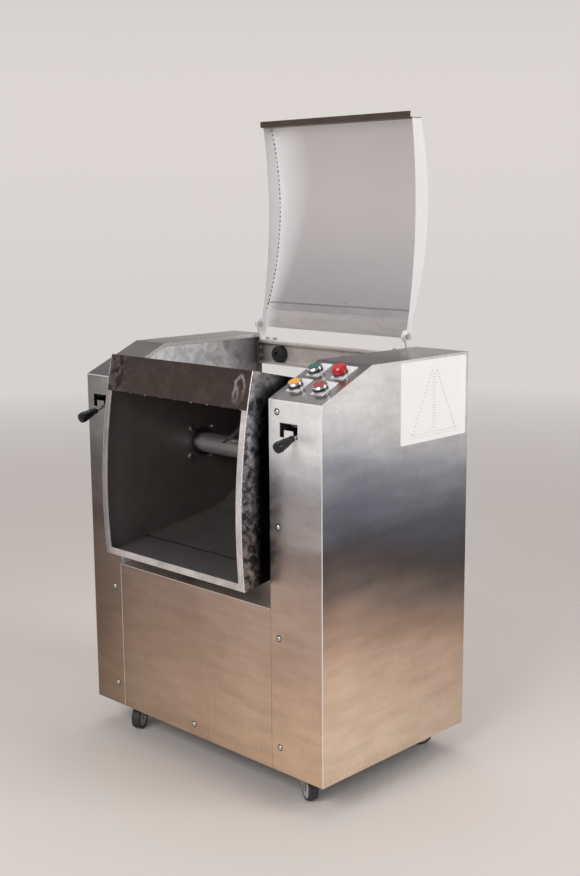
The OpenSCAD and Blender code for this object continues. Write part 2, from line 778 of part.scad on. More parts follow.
// Lid brackets: an ear beside each cheek on a foot that runs inboard along the crossbar
bracket_t = 4;
bracket_w = 16;
bracket_gap = 0.5;
bracket_foot_l = 52;
stop_w = 6;
bracket_x = lid_half_w + bracket_gap;
bracket_bolt_steps = [14, 38];
bracket_bolt_y = rear_y - bracket_w / 2;
module hinge_brackets() {
    color(DULL_STEEL) for (side = [0, 1]) translate([mid_x, 0, 0]) mirror([side, 0, 0]) difference() {
        union() {
            along_x(bracket_x, bracket_x + bracket_t) polygon([
                [rear_y - bracket_w, crossbar_top], [rear_y, crossbar_top],
                [hinge_y + bracket_w / 2, hinge_z], [hinge_y - bracket_w / 2, hinge_z]]);
            translate([0, hinge_y, hinge_z]) x_bar(bracket_w / 2, bracket_x, bracket_x + bracket_t);
            // Stop that the open cheek's lower edge rests on
            box([bracket_x - stop_w, rear_y - stop_w, crossbar_top],
                [bracket_x, rear_y, hinge_z + lid_foot - pass_gap]);
            box([bracket_x + bracket_t - bracket_foot_l, rear_y - bracket_w, crossbar_top],
                [bracket_x + bracket_t, rear_y, crossbar_top + bracket_t]);
        }
        translate([0, hinge_y, hinge_z])
            x_bar(hinge_pin_r + running_gap, bracket_x - cut, bracket_x + bracket_t + cut);
        for (step = bracket_bolt_steps)
            translate([bracket_x - step, bracket_bolt_y, crossbar_top - cut])
                cylinder(r = m6_r, h = bracket_t + cut * 2);
    }
}

// Hinge bolts, each with a flat head inside the cheek and a nut outside the ear
hinge_nut_h = 5;
hinge_head_h = 2.5;
module hinge_pins() {
    color(STEEL) for (side = [0, 1])
        translate([mid_x, hinge_y, hinge_z]) mirror([side, 0, 0]) {
            x_bar(hinge_pin_r, lid_half_w - lid_t - pass_gap, bracket_x + bracket_t + hinge_nut_h);
            translate([lid_half_w - lid_t - pass_gap, 0, 0]) rotate([0, -90, 0])
                cylinder(r = hinge_pin_r * 1.6, h = hinge_head_h);
            translate([bracket_x + bracket_t, 0, 0]) rotate([0, 90, 0])
                hex(hinge_pin_r * 1.7, hinge_nut_h);
        }
}

// Tub, drawn upright about its axis: Y to the rear and Z to the mouth
tub_x0 = left_wall_x + tub_gap;
tub_x1 = right_wall_x - tub_gap;
bow_centre = [(mouth_rear - mouth_front) / 2, mouth_lift + mouth_bow - mouth_bow_r];

// Filled section of the tub, moved in by n
module tub_section(n) {
    r = tub_r - n;
    circle(r = r, $fn = 144);
    polygon([
        [-r * cos(front_lean), -r * sin(front_lean)],
        [r * cos(rear_lean), -r * sin(rear_lean)],
        [mouth_rear - n / cos(rear_lean) + mouth_bow * 2 * tan(rear_lean), mouth_lift + mouth_bow * 2],
        [-mouth_front + n / cos(front_lean) - mouth_bow * 2 * tan(front_lean), mouth_lift + mouth_bow * 2]]);
}

// Everything below the bowed surface that lies n under the mouth
module under_bow(n) {
    translate(bow_centre) circle(r = mouth_bow_r - n, $fn = 240);
}

module tub_wrap() {
    color(DULL_STEEL) tipped() along_x(tub_x0 + tub_t, tub_x1 - tub_t) intersection() {
        difference() {
            tub_section(0);
            tub_section(tub_t);
        }
        under_bow(rim_t);
    }
}

side_hole_r = journal_r - 8;
module at_flange_bolts() {
    for (i = [0 : 3]) rotate([45 + i * 90, 0, 0]) translate([0, flange_pcd / 2, 0]) children();
}

module tub_side(x0) {
    difference() {
        along_x(x0, x0 + tub_t) intersection() {
            tub_section(0);
            under_bow(rim_t);
        }
        x_bar(side_hole_r, x0 - cut, x0 + tub_t + cut);
        at_flange_bolts() x_bar(flange_bolt_r, x0 - cut, x0 + tub_t + cut);
    }
}

module left_tub_side() {
    color(DULL_STEEL) tipped() tub_side(tub_x0);
}

module right_tub_side() {
    color(DULL_STEEL) tipped() tub_side(tub_x1 - tub_t);
}

// Strip of the bowed surface between two reaches from the axis
module bow_strip(y0, y1, t) {
    intersection() {
        difference() {
            under_bow(0);
            under_bow(t);
        }
        tub_section(0);
        translate([y0, 0]) square([y1 - y0, mouth_lift * 2]);
    }
}

brow_y = mouth_rear - brow_w;
module tub_rim() {
    color(STEEL) tipped() difference() {
        along_x(tub_x0, tub_x1) bow_strip(-mouth_front * 2, brow_y, rim_t);
        box([tub_x0 + rim_w, -mouth_front + rim_w, mouth_lift - mouth_bow * 2],
            [tub_x1 - rim_w, mouth_rear, mouth_lift + mouth_bow * 2]);
    }
}

module tub_brow() {
    color(DULL_STEEL) tipped() {
        along_x(tub_x0, tub_x1) bow_strip(brow_y, mouth_rear * 2, rim_t);
        along_x(tub_x0 + rim_w, tub_x1 - rim_w) intersection() {
            under_bow(rim_t);
            difference() {
                translate([brow_y, 0]) square([rim_t / 2, mouth_lift * 2]);
                under_bow(rim_t + brow_hem);
            }
        }
    }
}

// Trunnion: bolted flange, hollow journal and the bush seat of the shaft
bush_r = shaft_r + 4;
journal_l = tub_gap - flange_t + sheet_t + bearing_plate_t + housing_l;
module trunnion() {
    difference() {
        union() {
            x_bar(flange_r, 0, flange_t);
            x_cone(journal_r + flange_t / 2, journal_r, flange_t, flange_t * 1.5);
            x_bar(journal_r, flange_t, flange_t + journal_l);
        }
        x_bar(bush_r, -cut, flange_t + journal_l + cut);
        at_flange_bolts() x_bar(flange_bolt_r, -cut, flange_t + cut);
    }
}

// Places a piece drawn outwards along +X at the tub's left or right side
module at_left_side() {
    translate([tub_x0, 0, 0]) mirror([1, 0, 0]) children();
}

module at_right_side() {
    translate([tub_x1, 0, 0]) children();
}

module trunnions() {
    color(CAST) tipped() {
        at_left_side() trunnion();
        at_right_side() trunnion();
    }
}

flange_head_h = 4;
flange_washer_h = 1;
module flange_bolts() {
    color(STEEL) tipped() for (side = [0, 1])
        translate([mid_x, 0, 0]) mirror([side, 0, 0]) translate([tub_x1 - mid_x, 0, 0])
            at_flange_bolts() {
                x_bar(flange_bolt_r - pass_gap, -tub_t - flange_washer_h, flange_t);
                x_bar(flange_bolt_r * 2.1, -tub_t - flange_washer_h, -tub_t);
                translate([-tub_t - flange_washer_h, 0, 0]) rotate([0, -90, 0])
                    hex(flange_bolt_r * 1.7, flange_head_h);
                translate([flange_t, 0, 0]) rotate([0, 90, 0]) hex(flange_bolt_r * 1.7, flange_head_h);
            }
}

// Bush in each journal, with the seal ring that closes the tub's side
seal_t = 9;
seal_r = journal_r + 2;
module shaft_bushes() {
    color(BRONZE) tipped() for (side = [0, 1])
        translate([mid_x, 0, 0]) mirror([side, 0, 0]) translate([tub_x1 - mid_x, 0, 0]) difference() {
            union() {
                x_bar(bush_r, -tub_t, flange_t + journal_l);
                x_bar(seal_r, -tub_t - seal_t, -tub_t);
            }
            x_bar(shaft_r + running_gap, -tub_t - cut, flange_t + journal_l + cut);
            x_bar(rotor_tube_r + pass_gap, -tub_t - seal_t - cut, -tub_t);
        }
}

// Mixing rotor
rotor_x0 = tub_x0 + tub_t + pass_gap;
rotor_x1 = tub_x1 - tub_t - pass_gap;
shaft_x0 = tub_x0 - flange_t - journal_l - collar_l;
shaft_x1 = right_wall_x + chain_offset + sprocket_t * 2;
module mixer_shaft() {
    color(STEEL) at_axis() {
        x_bar(shaft_r, shaft_x0, shaft_x1);
        x_bar(rotor_tube_r, rotor_x0, rotor_x1);
        x_bar(bush_r, shaft_x0, shaft_x0 + collar_l - pass_gap);
    }
}

// Oblique blade that leaves the shaft at the origin and leans along +X as it rises
blade_l = paddle_sweep_r / sin(paddle_angle);
flare_from = 0.56;
flare_to = 0.7;
module oblique_blade() {
    half_arm = paddle_arm_w / 2;
    half_tip = paddle_w / 2;
    intersection() {
        rotate([0, -paddle_angle, 0]) translate([0, 0, -paddle_t / 2]) linear_extrude(paddle_t)
            polygon([[0, -half_arm], [blade_l * flare_from, -half_arm],
                [blade_l * flare_to, -half_tip], [blade_l * 1.1, -half_tip],
                [blade_l * 1.1, half_tip], [blade_l * flare_to, half_tip],
                [blade_l * flare_from, half_arm], [0, half_arm]]);
        x_bar(paddle_sweep_r, -paddle_sweep_r, paddle_sweep_r * 2);
    }
}

// Distance of each paddle's root from its end of the tube, as a share of the tube's length
near_root_share = 0.19;
far_root_share = 0.08;
paddle_root_x = rotor_x0 + (rotor_x1 - rotor_x0) * near_root_share;
far_root_x = rotor_x1 - (rotor_x1 - rotor_x0) * far_root_share;
module paddles() {
    color(DULL_STEEL) at_axis() difference() {
        union() {
            translate([paddle_root_x, 0, 0]) oblique_blade();
            translate([far_root_x, 0, 0]) rotate([180, 0, 0]) mirror([1, 0, 0]) oblique_blade();
        }
        x_bar(rotor_tube_r, rotor_x0 - paddle_sweep_r, rotor_x1 + paddle_sweep_r);
    }
}

// Bearing housing on the bearing plate, drawn outwards along +X
housing_foot_t = 10;
housing_bolt_pcd = 78;
module bearing_housing() {
    difference() {
        union() {
            x_bar(housing_r, 0, housing_foot_t);
            x_bar(journal_r + 9, 0, housing_l);
            x_cone(housing_r - 2, journal_r + 9, housing_foot_t, housing_foot_t + 4);
        }
        x_bar(journal_r + running_gap, -cut, housing_l + cut);
    }
    for (i = [0 : 3]) rotate([i * 90, 0, 0]) translate([housing_foot_t, housing_bolt_pcd / 2, 0])
        rotate([0, 90, 0]) hex(m6_head_r, m6_head_h);
}

module bearing_housings() {
    color(CAST) at_axis() {
        translate([left_wall_x - sheet_t - bearing_plate_t, 0, 0]) mirror([1, 0, 0]) bearing_housing();
        translate([right_wall_x + sheet_t + bearing_plate_t, 0, 0]) bearing_housing();
    }
}

// Chain, drawn round the driven axis in the plane of the sprockets
chain_x = right_wall_x + chain_offset;
seat_gap = 0.25;

// Roller places round the loop, as [y, z] from the driven axis
function driven_seat(k) = let (a = k * 360 / driven_teeth, r = pitch_r(driven_teeth))
    [r * sin(a), r * cos(a)];
function drive_seat(k) = let (a = k * 360 / drive_teeth, r = pitch_r(drive_teeth))
    [r * sin(a), -chain_centres - r * cos(a)];
function between(a, b, share) = a + (b - a) * share;
chain_points = concat(
    [for (k = [-driven_wrap : driven_wrap]) driven_seat(k)],
    [for (i = [1 : run_pitches - 1])
        between(driven_seat(driven_wrap), drive_seat(drive_wrap), i / run_pitches)],
    [for (k = [-drive_wrap : drive_wrap]) drive_seat(-k)],
    [for (i = [1 : run_pitches - 1])
        between(drive_seat(-drive_wrap), driven_seat(-driven_wrap), i / run_pitches)]);

function tip_r(teeth) = chain_pitch * (0.6 + 1 / tan(180 / teeth)) / 2;
// Whether a roller at p would lie in the way of a turning sprocket's teeth
function in_teeth(p) = let (reach = roller_r + pass_gap)
    norm(p) < tip_r(driven_teeth) + reach || norm(p + [0, chain_centres]) < tip_r(drive_teeth) + reach;

module sprocket(teeth, plate_t) {
    r = pitch_r(teeth);
    seat_r = roller_r + seat_gap;
    flank = roller_r * 0.4;
    translate([-plate_t / 2, 0, 0]) rotate([90, 0, 90]) linear_extrude(plate_t) difference() {
        circle(r = tip_r(teeth), $fn = 96);
        for (i = [0 : teeth - 1]) rotate((i + 0.5) * 360 / teeth) translate([r, 0]) {
            circle(r = seat_r, $fn = 24);
            polygon([[0, -seat_r], [roller_r, -seat_r - flank], [roller_r, seat_r + flank], [0, seat_r]]);
        }
    }
}

hub_r = shaft_r * 2;
module driven_sprocket() {
    color(CAST) at_axis() translate([chain_x, 0, 0]) difference() {
        union() {
            sprocket(driven_teeth, sprocket_t);
            x_bar(hub_r, -sprocket_t * 1.6, sprocket_t * 0.9);
        }
        x_bar(shaft_r + running_gap, -sprocket_t * 2, sprocket_t * 2);
        for (i = [0 : 4]) rotate([i * 72, 0, 0]) translate([0, (hub_r + pitch_r(driven_teeth)) / 2, 0])
            x_bar(sprocket_t * 1.2, -sprocket_t, sprocket_t);
    }
}

module at_drive() {
    translate([0, drive_y, drive_z]) children();
}

module drive_sprocket() {
    color(CAST) at_drive() {
        translate([chain_x, 0, 0]) sprocket(drive_teeth, sprocket_t);
        x_bar(output_r, gearbox_x1 + pass_gap, chain_x + sprocket_t * 1.6);
        x_bar(output_r * 1.7, chain_x - sprocket_t * 1.6, chain_x);
    }
}

// Outline of a link plate between the rollers at a and b, with a half round at each end
end_steps = 4;
function half_round(p, from) = [for (i = [0 : end_steps])
    p + chain_plate_r * [cos(from + i * 180 / end_steps), sin(from + i * 180 / end_steps)]];
function plate_outline(a, b) = let (d = b - a, turn = atan2(d[1], d[0]))
    concat(half_round(a, turn + 90), half_round(b, turn - 90));

module link_plates(first, x0, x1) {
    n = len(chain_points);
    for (i = [first : 2 : n - 1])
        along_x(x0, x1) polygon(plate_outline(chain_points[i], chain_points[(i + 1) % n]));
}

// The chain is one solid that can't travel. So that the sprockets turn clear of it, the
// rollers between their teeth are left out, and the pins there reach only through the plates
module drive_chain() {
    half = chain_inner_w / 2;
    pin_end = half + chain_plate_t * 2.3;
    // The plates overlap the rollers and each other by a little, so the links are one solid
    lap = chain_plate_t / 5;
    color(CAST) at_axis() translate([chain_x, 0, 0]) {
        for (p = chain_points) if (!in_teeth(p)) translate([0, p[0], p[1]]) {
            x_bar(roller_r, -half, half);
            x_bar(chain_pin_r, -pin_end, pin_end);
        }
        for (side = [0, 1]) mirror([side, 0, 0]) {
            for (p = chain_points) if (in_teeth(p))
                translate([0, p[0], p[1]]) x_bar(chain_pin_r, half, pin_end);
            link_plates(0, half - lap, half + chain_plate_t);
            link_plates(1, half + chain_plate_t - lap, half + chain_plate_t * 2);
        }
    }
}

// Gearmotor in the base, feet on the frame's rails
foot_t = 10;
module gearbox() {
    color(BLUE_PAINT) at_drive() {
        difference() {
            union() {
                x_bar(gearbox_r, gearbox_x0, gearbox_x1 - foot_t * 2);
                x_cone(gearbox_r, output_r * 2.4, gearbox_x1 - foot_t * 2, gearbox_x1 - foot_t);
                x_bar(output_r * 2.4, gearbox_x1 - foot_t, gearbox_x1);
                box([gearbox_x0 + foot_t, -gearbox_r, gearbox_feet_z - drive_z],
                    [gearbox_x1 - foot_t * 2, gearbox_r, gearbox_feet_z - drive_z + foot_t]);
                for (x = [gearbox_x0 + foot_t, gearbox_x1 - foot_t * 3])
                    box([x, -gearbox_r * 0.8, gearbox_feet_z - drive_z],
                        [x + foot_t, gearbox_r * 0.8, 0]);
            }
            x_bar(output_r + pass_gap, gearbox_x1 - foot_t * 2, gearbox_x1 + cut);
        }
    }
}

fin_count = 24;
fin_h = 6;
fin_t = 2.4;
motor_x0 = gearbox_x0 - motor_l;
module motor() {
    color(BLUE_PAINT) at_drive() {
        x_bar(motor_r - fin_h, motor_x0, gearbox_x0);
        x_bar(gearbox_r, gearbox_x0 - foot_t, gearbox_x0);
        x_bar(motor_r, motor_x0, motor_x0 + foot_t);
        for (i = [0 : fin_count - 1])
            if (i < fin_count / 8 || i > fin_count * 3 / 8)
                rotate([i * 360 / fin_count, 0, 0])
                    box([motor_x0 + foot_t / 2, motor_r - fin_h * 2, -fin_t / 2],
                        [gearbox_x0 - foot_t / 2, motor_r, fin_t / 2]);
    }
}

cowl_t = 2;
module fan_cowl() {
    color(BLUE_PAINT) at_drive() difference() {
        x_bar(motor_r, motor_x0 - cowl_l, motor_x0);
        x_bar(motor_r - cowl_t, motor_x0 - cowl_l + cowl_t, motor_x0 + cut);
        for (ring = [2, 3, 4]) for (i = [0 : ring * 4 - 1])
            rotate([i * 90 / ring, 0, 0]) translate([0, ring * motor_r / 5, 0])
                x_bar(motor_r / 14, motor_x0 - cowl_l - cut, motor_x0 - cowl_l + cowl_t + cut);
    }
}

terminal_w = 70;
terminal_h = 34;
module terminal_box() {
    color(BLUE_PAINT) at_drive() translate([(motor_x0 + gearbox_x0) / 2, 0, 0]) {
        // The box sits astride the motor's round body, between the fins
        difference() {
            box([-terminal_w / 2, -terminal_w / 2, motor_r * 0.62],
                [terminal_w / 2, terminal_w / 2, motor_r + terminal_h - cowl_t]);
            x_bar(motor_r - fin_h, -terminal_w, terminal_w);
        }
        box([-terminal_w / 2 - cowl_t, -terminal_w / 2 - cowl_t, motor_r + terminal_h - cowl_t],
            [terminal_w / 2 + cowl_t, terminal_w / 2 + cowl_t, motor_r + terminal_h + cowl_t]);
    }
}

// Controls on the slope
legend_front = control_r + pass_gap;
module legend_plates() {
    color([0.86, 0.87, 0.88]) for (place = concat(BUTTON_PLACES, [LAMP_PLACE])) at_control(place)
        difference() {
            translate([-legend_w / 2, -legend_front, 0]) cube([legend_w, legend_l, legend_t]);
            translate([0, 0, -cut]) cylinder(r = control_hole_r, h = legend_t + cut * 2);
        }
}

// Black collars with their threaded necks and nuts under the panel
neck_l = 16;
neck_nut_h = 4;
plunger_r = 5;
module button_collars() {
    color(BLACK) for (place = concat(BUTTON_PLACES, [LAMP_PLACE])) at_control(place) difference() {
        union() {
            translate([0, 0, legend_t]) cylinder(r = control_r - 0.7, h = collar_h);
            translate([0, 0, -sheet_t - neck_l])
                cylinder(r = control_hole_r - pass_gap / 2, h = sheet_t + neck_l + legend_t);
            translate([0, 0, -sheet_t - neck_nut_h]) cylinder(r = control_r, h = neck_nut_h, $fn = 8);
        }
        translate([0, 0, -sheet_t - neck_l - cut])
            cylinder(r = plunger_r + pass_gap, h = sheet_t + neck_l + legend_t + collar_h + cut * 2);
        translate([0, 0, legend_t + collar_h - button_travel])
            cylinder(r = cap_r + pass_gap, h = button_travel + cut);
    }
}

cap_r = 11.3;
ring_top = legend_t + collar_h + ring_h;
module button_rings() {
    color([0.9, 0.9, 0.92]) for (place = BUTTON_PLACES) at_control(place)
        translate([0, 0, legend_t + collar_h]) rotate_extrude() polygon([
            [cap_r + pass_gap, 0], [control_r, 0], [control_r, ring_h * 0.7],
            [control_r - ring_h * 0.22, ring_h], [cap_r + pass_gap, ring_h]]);
}

// Round cap on a plunger; its top stands a little above the ring
cap_rise = 1;
module button(place) {
    at_control(place) {
        translate([0, 0, legend_t + collar_h + pass_gap])
            cylinder(r = cap_r, h = ring_h + cap_rise - pass_gap);
        translate([0, 0, -sheet_t - neck_l]) cylinder(r = plunger_r, h = ring_top + sheet_t + neck_l);
    }
}

module start_button() {
    color([0.05, 0.45, 0.3]) button(BUTTON_PLACES[0]);
}

module jog_button() {
    color([0.95, 0.6, 0.1]) button(BUTTON_PLACES[1]);
}

module stop_button() {
    color([0.7, 0.1, 0.15]) button(BUTTON_PLACES[2]);
}

lens_h = 13;
module lamp_lens() {
    color([0.9, 0.08, 0.06]) at_control(LAMP_PLACE) translate([0, 0, legend_t + collar_h])
        rotate_extrude() polygon([[0, 0], [control_r - 1, 0], [control_r - 1, lens_h * 0.78],
            [control_r - 1 - lens_h * 0.2, lens_h], [0, lens_h]]);
}

contact_w = 28;
contact_l = 42;
contact_h = 30;
module contact_blocks() {
    color(BLACK) for (place = concat(BUTTON_PLACES, [LAMP_PLACE])) at_control(place) difference() {
        translate([-contact_w / 2, -contact_l / 2, -sheet_t - neck_l - contact_h])
            cube([contact_w, contact_l, contact_h]);
        translate([0, 0, -sheet_t - neck_l - button_travel - pass_gap])
            cylinder(r = plunger_r + pass_gap, h = button_travel + pass_gap + cut);
    }
}

// Latches: a bar that runs along X behind the front face, with a stem and a knob
guide_r = latch_r + 4;
guide_l = 20;
module at_latch() {
    translate([0, front_y + latch_depth, latch_z]) children();
}

// Guide sleeves on the inner walls, and brackets that hold the bars' outer ends
module latch_guides() {
    color(CAST) at_latch() difference() {
        union() {
            x_bar(guide_r, left_wall_x - sheet_t - guide_l, left_wall_x - sheet_t);
            x_bar(guide_r, right_wall_x + sheet_t, right_wall_x + sheet_t + guide_l);
            x_bar(guide_r, -half_w + sheet_t, -half_w + sheet_t + guide_l / 2);
            x_bar(guide_r, half_w - sheet_t - guide_l, half_w - sheet_t);
        }
        x_bar(latch_r + running_gap, left_wall_x - sheet_t - guide_l - cut, left_wall_x);
        x_bar(latch_r + running_gap, right_wall_x, right_wall_x + sheet_t + guide_l + cut);
        x_bar(latch_r + running_gap, -half_w, -half_w + sheet_t + guide_l / 2 + cut);
        x_bar(latch_r + running_gap, half_w - sheet_t - guide_l - cut, half_w);
    }
}

// Places a piece drawn along +Z at a stem's root, pointing the way the lowered stem points
module along_stem(x) {
    at_latch() translate([x, 0, 0]) rotate([latch_drop + 90, 0, 0]) children();
}

function stem_l(knob_gap) = latch_depth / cos(latch_drop) + knob_gap;

// Latch bar from x0 to x1 with its stem at x, long enough for a knob this far from the face
module latch(x0, x1, x, knob_gap) {
    color(STEEL) {
        at_latch() x_bar(latch_r, x0, x1);
        along_stem(x) cylinder(r = latch_stem_r, h = stem_l(knob_gap) + knob_l / 2);
    }
}

module latch_knob(x, knob_gap) {
    color(BLACK) along_stem(x) translate([0, 0, stem_l(knob_gap)]) rotate_extrude() polygon([
        [latch_stem_r, 0], [latch_stem_r * 1.6, 0], [latch_stem_r * 1.6, knob_l * 0.12],
        [knob_r * 0.78, knob_l * 0.38], [knob_r, knob_l * 0.8], [knob_r * 0.9, knob_l * 0.95],
        [knob_r * knob_end_share, knob_l], [0, knob_l], [0, knob_l / 2], [latch_stem_r, knob_l / 2]]);
}

left_stem_x = left_slot_x + slot_w - slot_leg_w / 2;
right_stem_x = right_slot_x + slot_w - slot_leg_w / 2;
latch_tip = 6;
module left_latch() {
    latch(-half_w + sheet_t * 2, left_wall_x + latch_tip, left_stem_x, left_knob_gap);
}

module right_latch() {
    latch(right_wall_x + sheet_t, half_w - sheet_t * 2, right_stem_x, right_knob_gap);
}

module left_knob() {
    latch_knob(left_stem_x, left_knob_gap);
}

module right_knob() {
    latch_knob(right_stem_x, right_knob_gap);
}

// Cable gland of the mains inlet in the rear panel
gland_hex_r = 14;
gland_cap_l = 12;
gland_bore_r = 4.5;
module cable_gland() {
    color(BLACK) translate([gland_x, 0, gland_z]) difference() {
        union() {
            y_bar(gland_r - pass_gap, rear_y - sheet_t - gland_cap_l / 2, rear_y);
            translate([0, rear_y, 0]) rotate([-90, 0, 0]) hex(gland_hex_r, gland_cap_l / 2);
            translate([0, rear_y + gland_cap_l / 2, 0]) rotate([-90, 0, 0])
                cylinder(r1 = gland_r * 1.15, r2 = gland_r * 0.8, h = gland_cap_l);
            translate([0, rear_y - sheet_t, 0]) rotate([90, 0, 0]) hex(gland_hex_r, gland_cap_l / 3);
        }
        y_bar(gland_bore_r, rear_y - gland_cap_l * 2, rear_y + gland_cap_l * 2);
    }
}

// Casters: front left, front right, rear left, rear right
CASTER_SIDES = [[-1, -1], [1, -1], [-1, 1], [1, 1]];
caster_pad_w = 58;
function caster_y(side) = side < 0 ? front_y + caster_inset_y : rear_y - caster_inset_y;
caster_plate_t = 2.5;
fork_t = 2;
fork_top_z = frame_z - caster_plate_t - 6;
swivel_r = 16;
axle_r = 4;

module at_caster(i) {
    side = CASTER_SIDES[i];
    translate([side[0] * (half_w - caster_inset_x), caster_y(side[1]), 0])
        rotate([0, 0, caster_turns[i]]) children();
}

module caster_plates() {
    color(STEEL) for (side = CASTER_SIDES)
        translate([side[0] * (half_w - caster_inset_x), caster_y(side[1]), 0]) {
            difference() {
                translate([-caster_pad_w / 2, -caster_pad_w / 2, frame_z - caster_plate_t])
                    cube([caster_pad_w, caster_pad_w, caster_plate_t]);
                for (x = [-1, 1]) for (y = [-1, 1])
                    translate([x * caster_pad_w * 0.38, y * caster_pad_w * 0.38, 0])
                        cylinder(r = m6_r, h = frame_z + cut);
            }
            translate([0, 0, fork_top_z + pass_gap])
                cylinder(r1 = swivel_r, r2 = swivel_r * 1.2,
                    h = frame_z - caster_plate_t - fork_top_z - pass_gap);
        }
}

fork_gap = wheel_w + 3;
module caster_fork(i) {
    color(STEEL) at_caster(i) difference() {
        union() {
            translate([0, 0, fork_top_z - fork_t]) cylinder(r = swivel_r * 1.1, h = fork_t);
            translate([-fork_gap / 2 - fork_t, -swivel_r * 1.1, fork_top_z - fork_t])
                cube([fork_gap + fork_t * 2, swivel_r * 2.2, fork_t]);
            for (x = [-fork_gap / 2 - fork_t, fork_gap / 2])
                along_x(x, x + fork_t) polygon([[-swivel_r * 1.1, fork_top_z],
                    [swivel_r * 1.1, fork_top_z], [swivel_r, fork_top_z - wheel_r * 0.5],
                    [-caster_trail + axle_r * 1.6, wheel_r - axle_r * 1.4],
                    [-caster_trail - axle_r * 1.6, wheel_r - axle_r * 1.4],
                    [-caster_trail - axle_r * 1.8, wheel_r]]);
            translate([0, -caster_trail, wheel_r])
                x_bar(axle_r - running_gap, -fork_gap / 2 - fork_t * 1.8, fork_gap / 2 + fork_t * 1.8);
        }
    }
}

module caster_wheel(i) {
    at_caster(i) translate([0, -caster_trail, wheel_r]) {
        color(BLACK) rotate([0, 90, 0]) rotate_extrude() polygon([
            [axle_r, -wheel_w / 2], [wheel_r * 0.45, -wheel_w / 2], [wheel_r * 0.5, -wheel_w * 0.4],
            [wheel_r * 0.82, -wheel_w * 0.4], [wheel_r * 0.86, -wheel_w / 2],
            [wheel_r * 0.95, -wheel_w / 2], [wheel_r, -wheel_w * 0.38],
            [wheel_r, wheel_w * 0.38], [wheel_r * 0.95, wheel_w / 2], [wheel_r * 0.86, wheel_w / 2],
            [wheel_r * 0.82, wheel_w * 0.4], [wheel_r * 0.5, wheel_w * 0.4],
            [wheel_r * 0.45, wheel_w / 2], [axle_r, wheel_w / 2]]);
    }
}

frame();
front_panel();
base_deck();
rear_panel();
left_tower_casing();
right_tower_casing();
left_inner_wall();
right_inner_wall();
tower_rear_covers();
panel_screws();
crossbar();
crossbar_bolts();
tub_buffers();
hinge_brackets();
hinge_pins();
bearing_housings();
gearbox();
motor();
fan_cowl();
terminal_box();
drive_chain();
legend_plates();
button_collars();
button_rings();
lamp_lens();
contact_blocks();
latch_guides();
caster_plates();
cable_gland();
lid_sheet();
left_lid_cheek();
right_lid_cheek();
lid_lip();
tub_wrap();
left_tub_side();
right_tub_side();
tub_rim();
tub_brow();
trunnions();
flange_bolts();
shaft_bushes();
mixer_shaft();
paddles();
driven_sprocket();
drive_sprocket();
start_button();
jog_button();
stop_button();
left_latch();
right_latch();
left_knob();
right_knob();
caster_fork(0);  // caster_fork_fl
caster_fork(1);  // caster_fork_fr
caster_fork(2);  // caster_fork_rl
caster_fork(3);  // caster_fork_rr
caster_wheel(0);  // caster_wheel_fl
caster_wheel(1);  // caster_wheel_fr
caster_wheel(2);  // caster_wheel_rl
caster_wheel(3);  // caster_wheel_rr
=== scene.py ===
# %% [markdown]
# # A tilting-tub mixer in brushed stainless steel
#
# The frame gives every solid of the mixer in its place. This script keeps those places, softens
# the folded edges, adds the small pieces that solids leave out, and gives each surface a finish.

# %% Load the frame and note its size
import json
import math

import bmesh
import bpy
from mathutils import Matrix, Vector

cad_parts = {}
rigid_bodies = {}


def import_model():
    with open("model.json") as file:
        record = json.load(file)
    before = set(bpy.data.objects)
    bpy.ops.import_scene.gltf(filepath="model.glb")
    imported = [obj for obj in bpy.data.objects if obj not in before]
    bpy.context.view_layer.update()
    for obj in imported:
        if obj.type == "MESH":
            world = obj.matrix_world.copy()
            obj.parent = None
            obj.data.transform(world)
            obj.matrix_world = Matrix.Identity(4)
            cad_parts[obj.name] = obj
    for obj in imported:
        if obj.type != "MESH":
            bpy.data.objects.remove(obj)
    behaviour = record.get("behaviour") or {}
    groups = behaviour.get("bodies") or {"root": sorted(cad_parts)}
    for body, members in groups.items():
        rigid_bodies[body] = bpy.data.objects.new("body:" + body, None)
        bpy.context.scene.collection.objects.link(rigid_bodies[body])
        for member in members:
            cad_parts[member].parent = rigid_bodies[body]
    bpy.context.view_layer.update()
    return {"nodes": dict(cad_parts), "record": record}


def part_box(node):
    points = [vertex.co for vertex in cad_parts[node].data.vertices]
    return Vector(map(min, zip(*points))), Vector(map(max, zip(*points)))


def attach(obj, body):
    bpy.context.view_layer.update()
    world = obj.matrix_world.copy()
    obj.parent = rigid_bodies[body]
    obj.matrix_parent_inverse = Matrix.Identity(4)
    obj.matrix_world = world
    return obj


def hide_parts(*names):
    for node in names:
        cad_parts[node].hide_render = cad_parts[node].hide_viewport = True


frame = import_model()
nodes = frame["nodes"]

# %% [markdown]
# ## Faces that the pieces share
#
# Patterns and small pieces are placed from a few faces of the casings, in metres. The front and
# the side are read from the frame. The control panel slopes back from the top of the front.

# %% The machine's main faces
casing_low, casing_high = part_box("right_tower_casing")
FRONT_Y, SIDE_X = casing_low.y, casing_high.x
REAR_Y = 0.224434
SLOPE_FOOT_Z, SLOPE_RISE, SLOPE_RUN = 0.780, 0.060, 0.136
PANEL_SLOPE = math.atan2(SLOPE_RISE, SLOPE_RUN)
print("front face at", round(FRONT_Y, 4), "slope", round(math.degrees(PANEL_SLOPE), 1), "degrees")

# %% [markdown]
# ## Camera
#
# The photograph was taken from the front right, a little above the lid's hinge. The place and the
# lens below come from the cabinet's corners, whose real sizes are known from the solids.

# %% Camera
CAMERA_PLACE = Vector((1.81815, -1.797836, 1.12103))
CAMERA_YAW = math.radians(44.34249)
CAMERA_PITCH = math.radians(10.35974)
CAMERA_ROLL = math.radians(-0.44389)
SENSOR = 36.0
LENS = 51.496
FARTHEST = 50

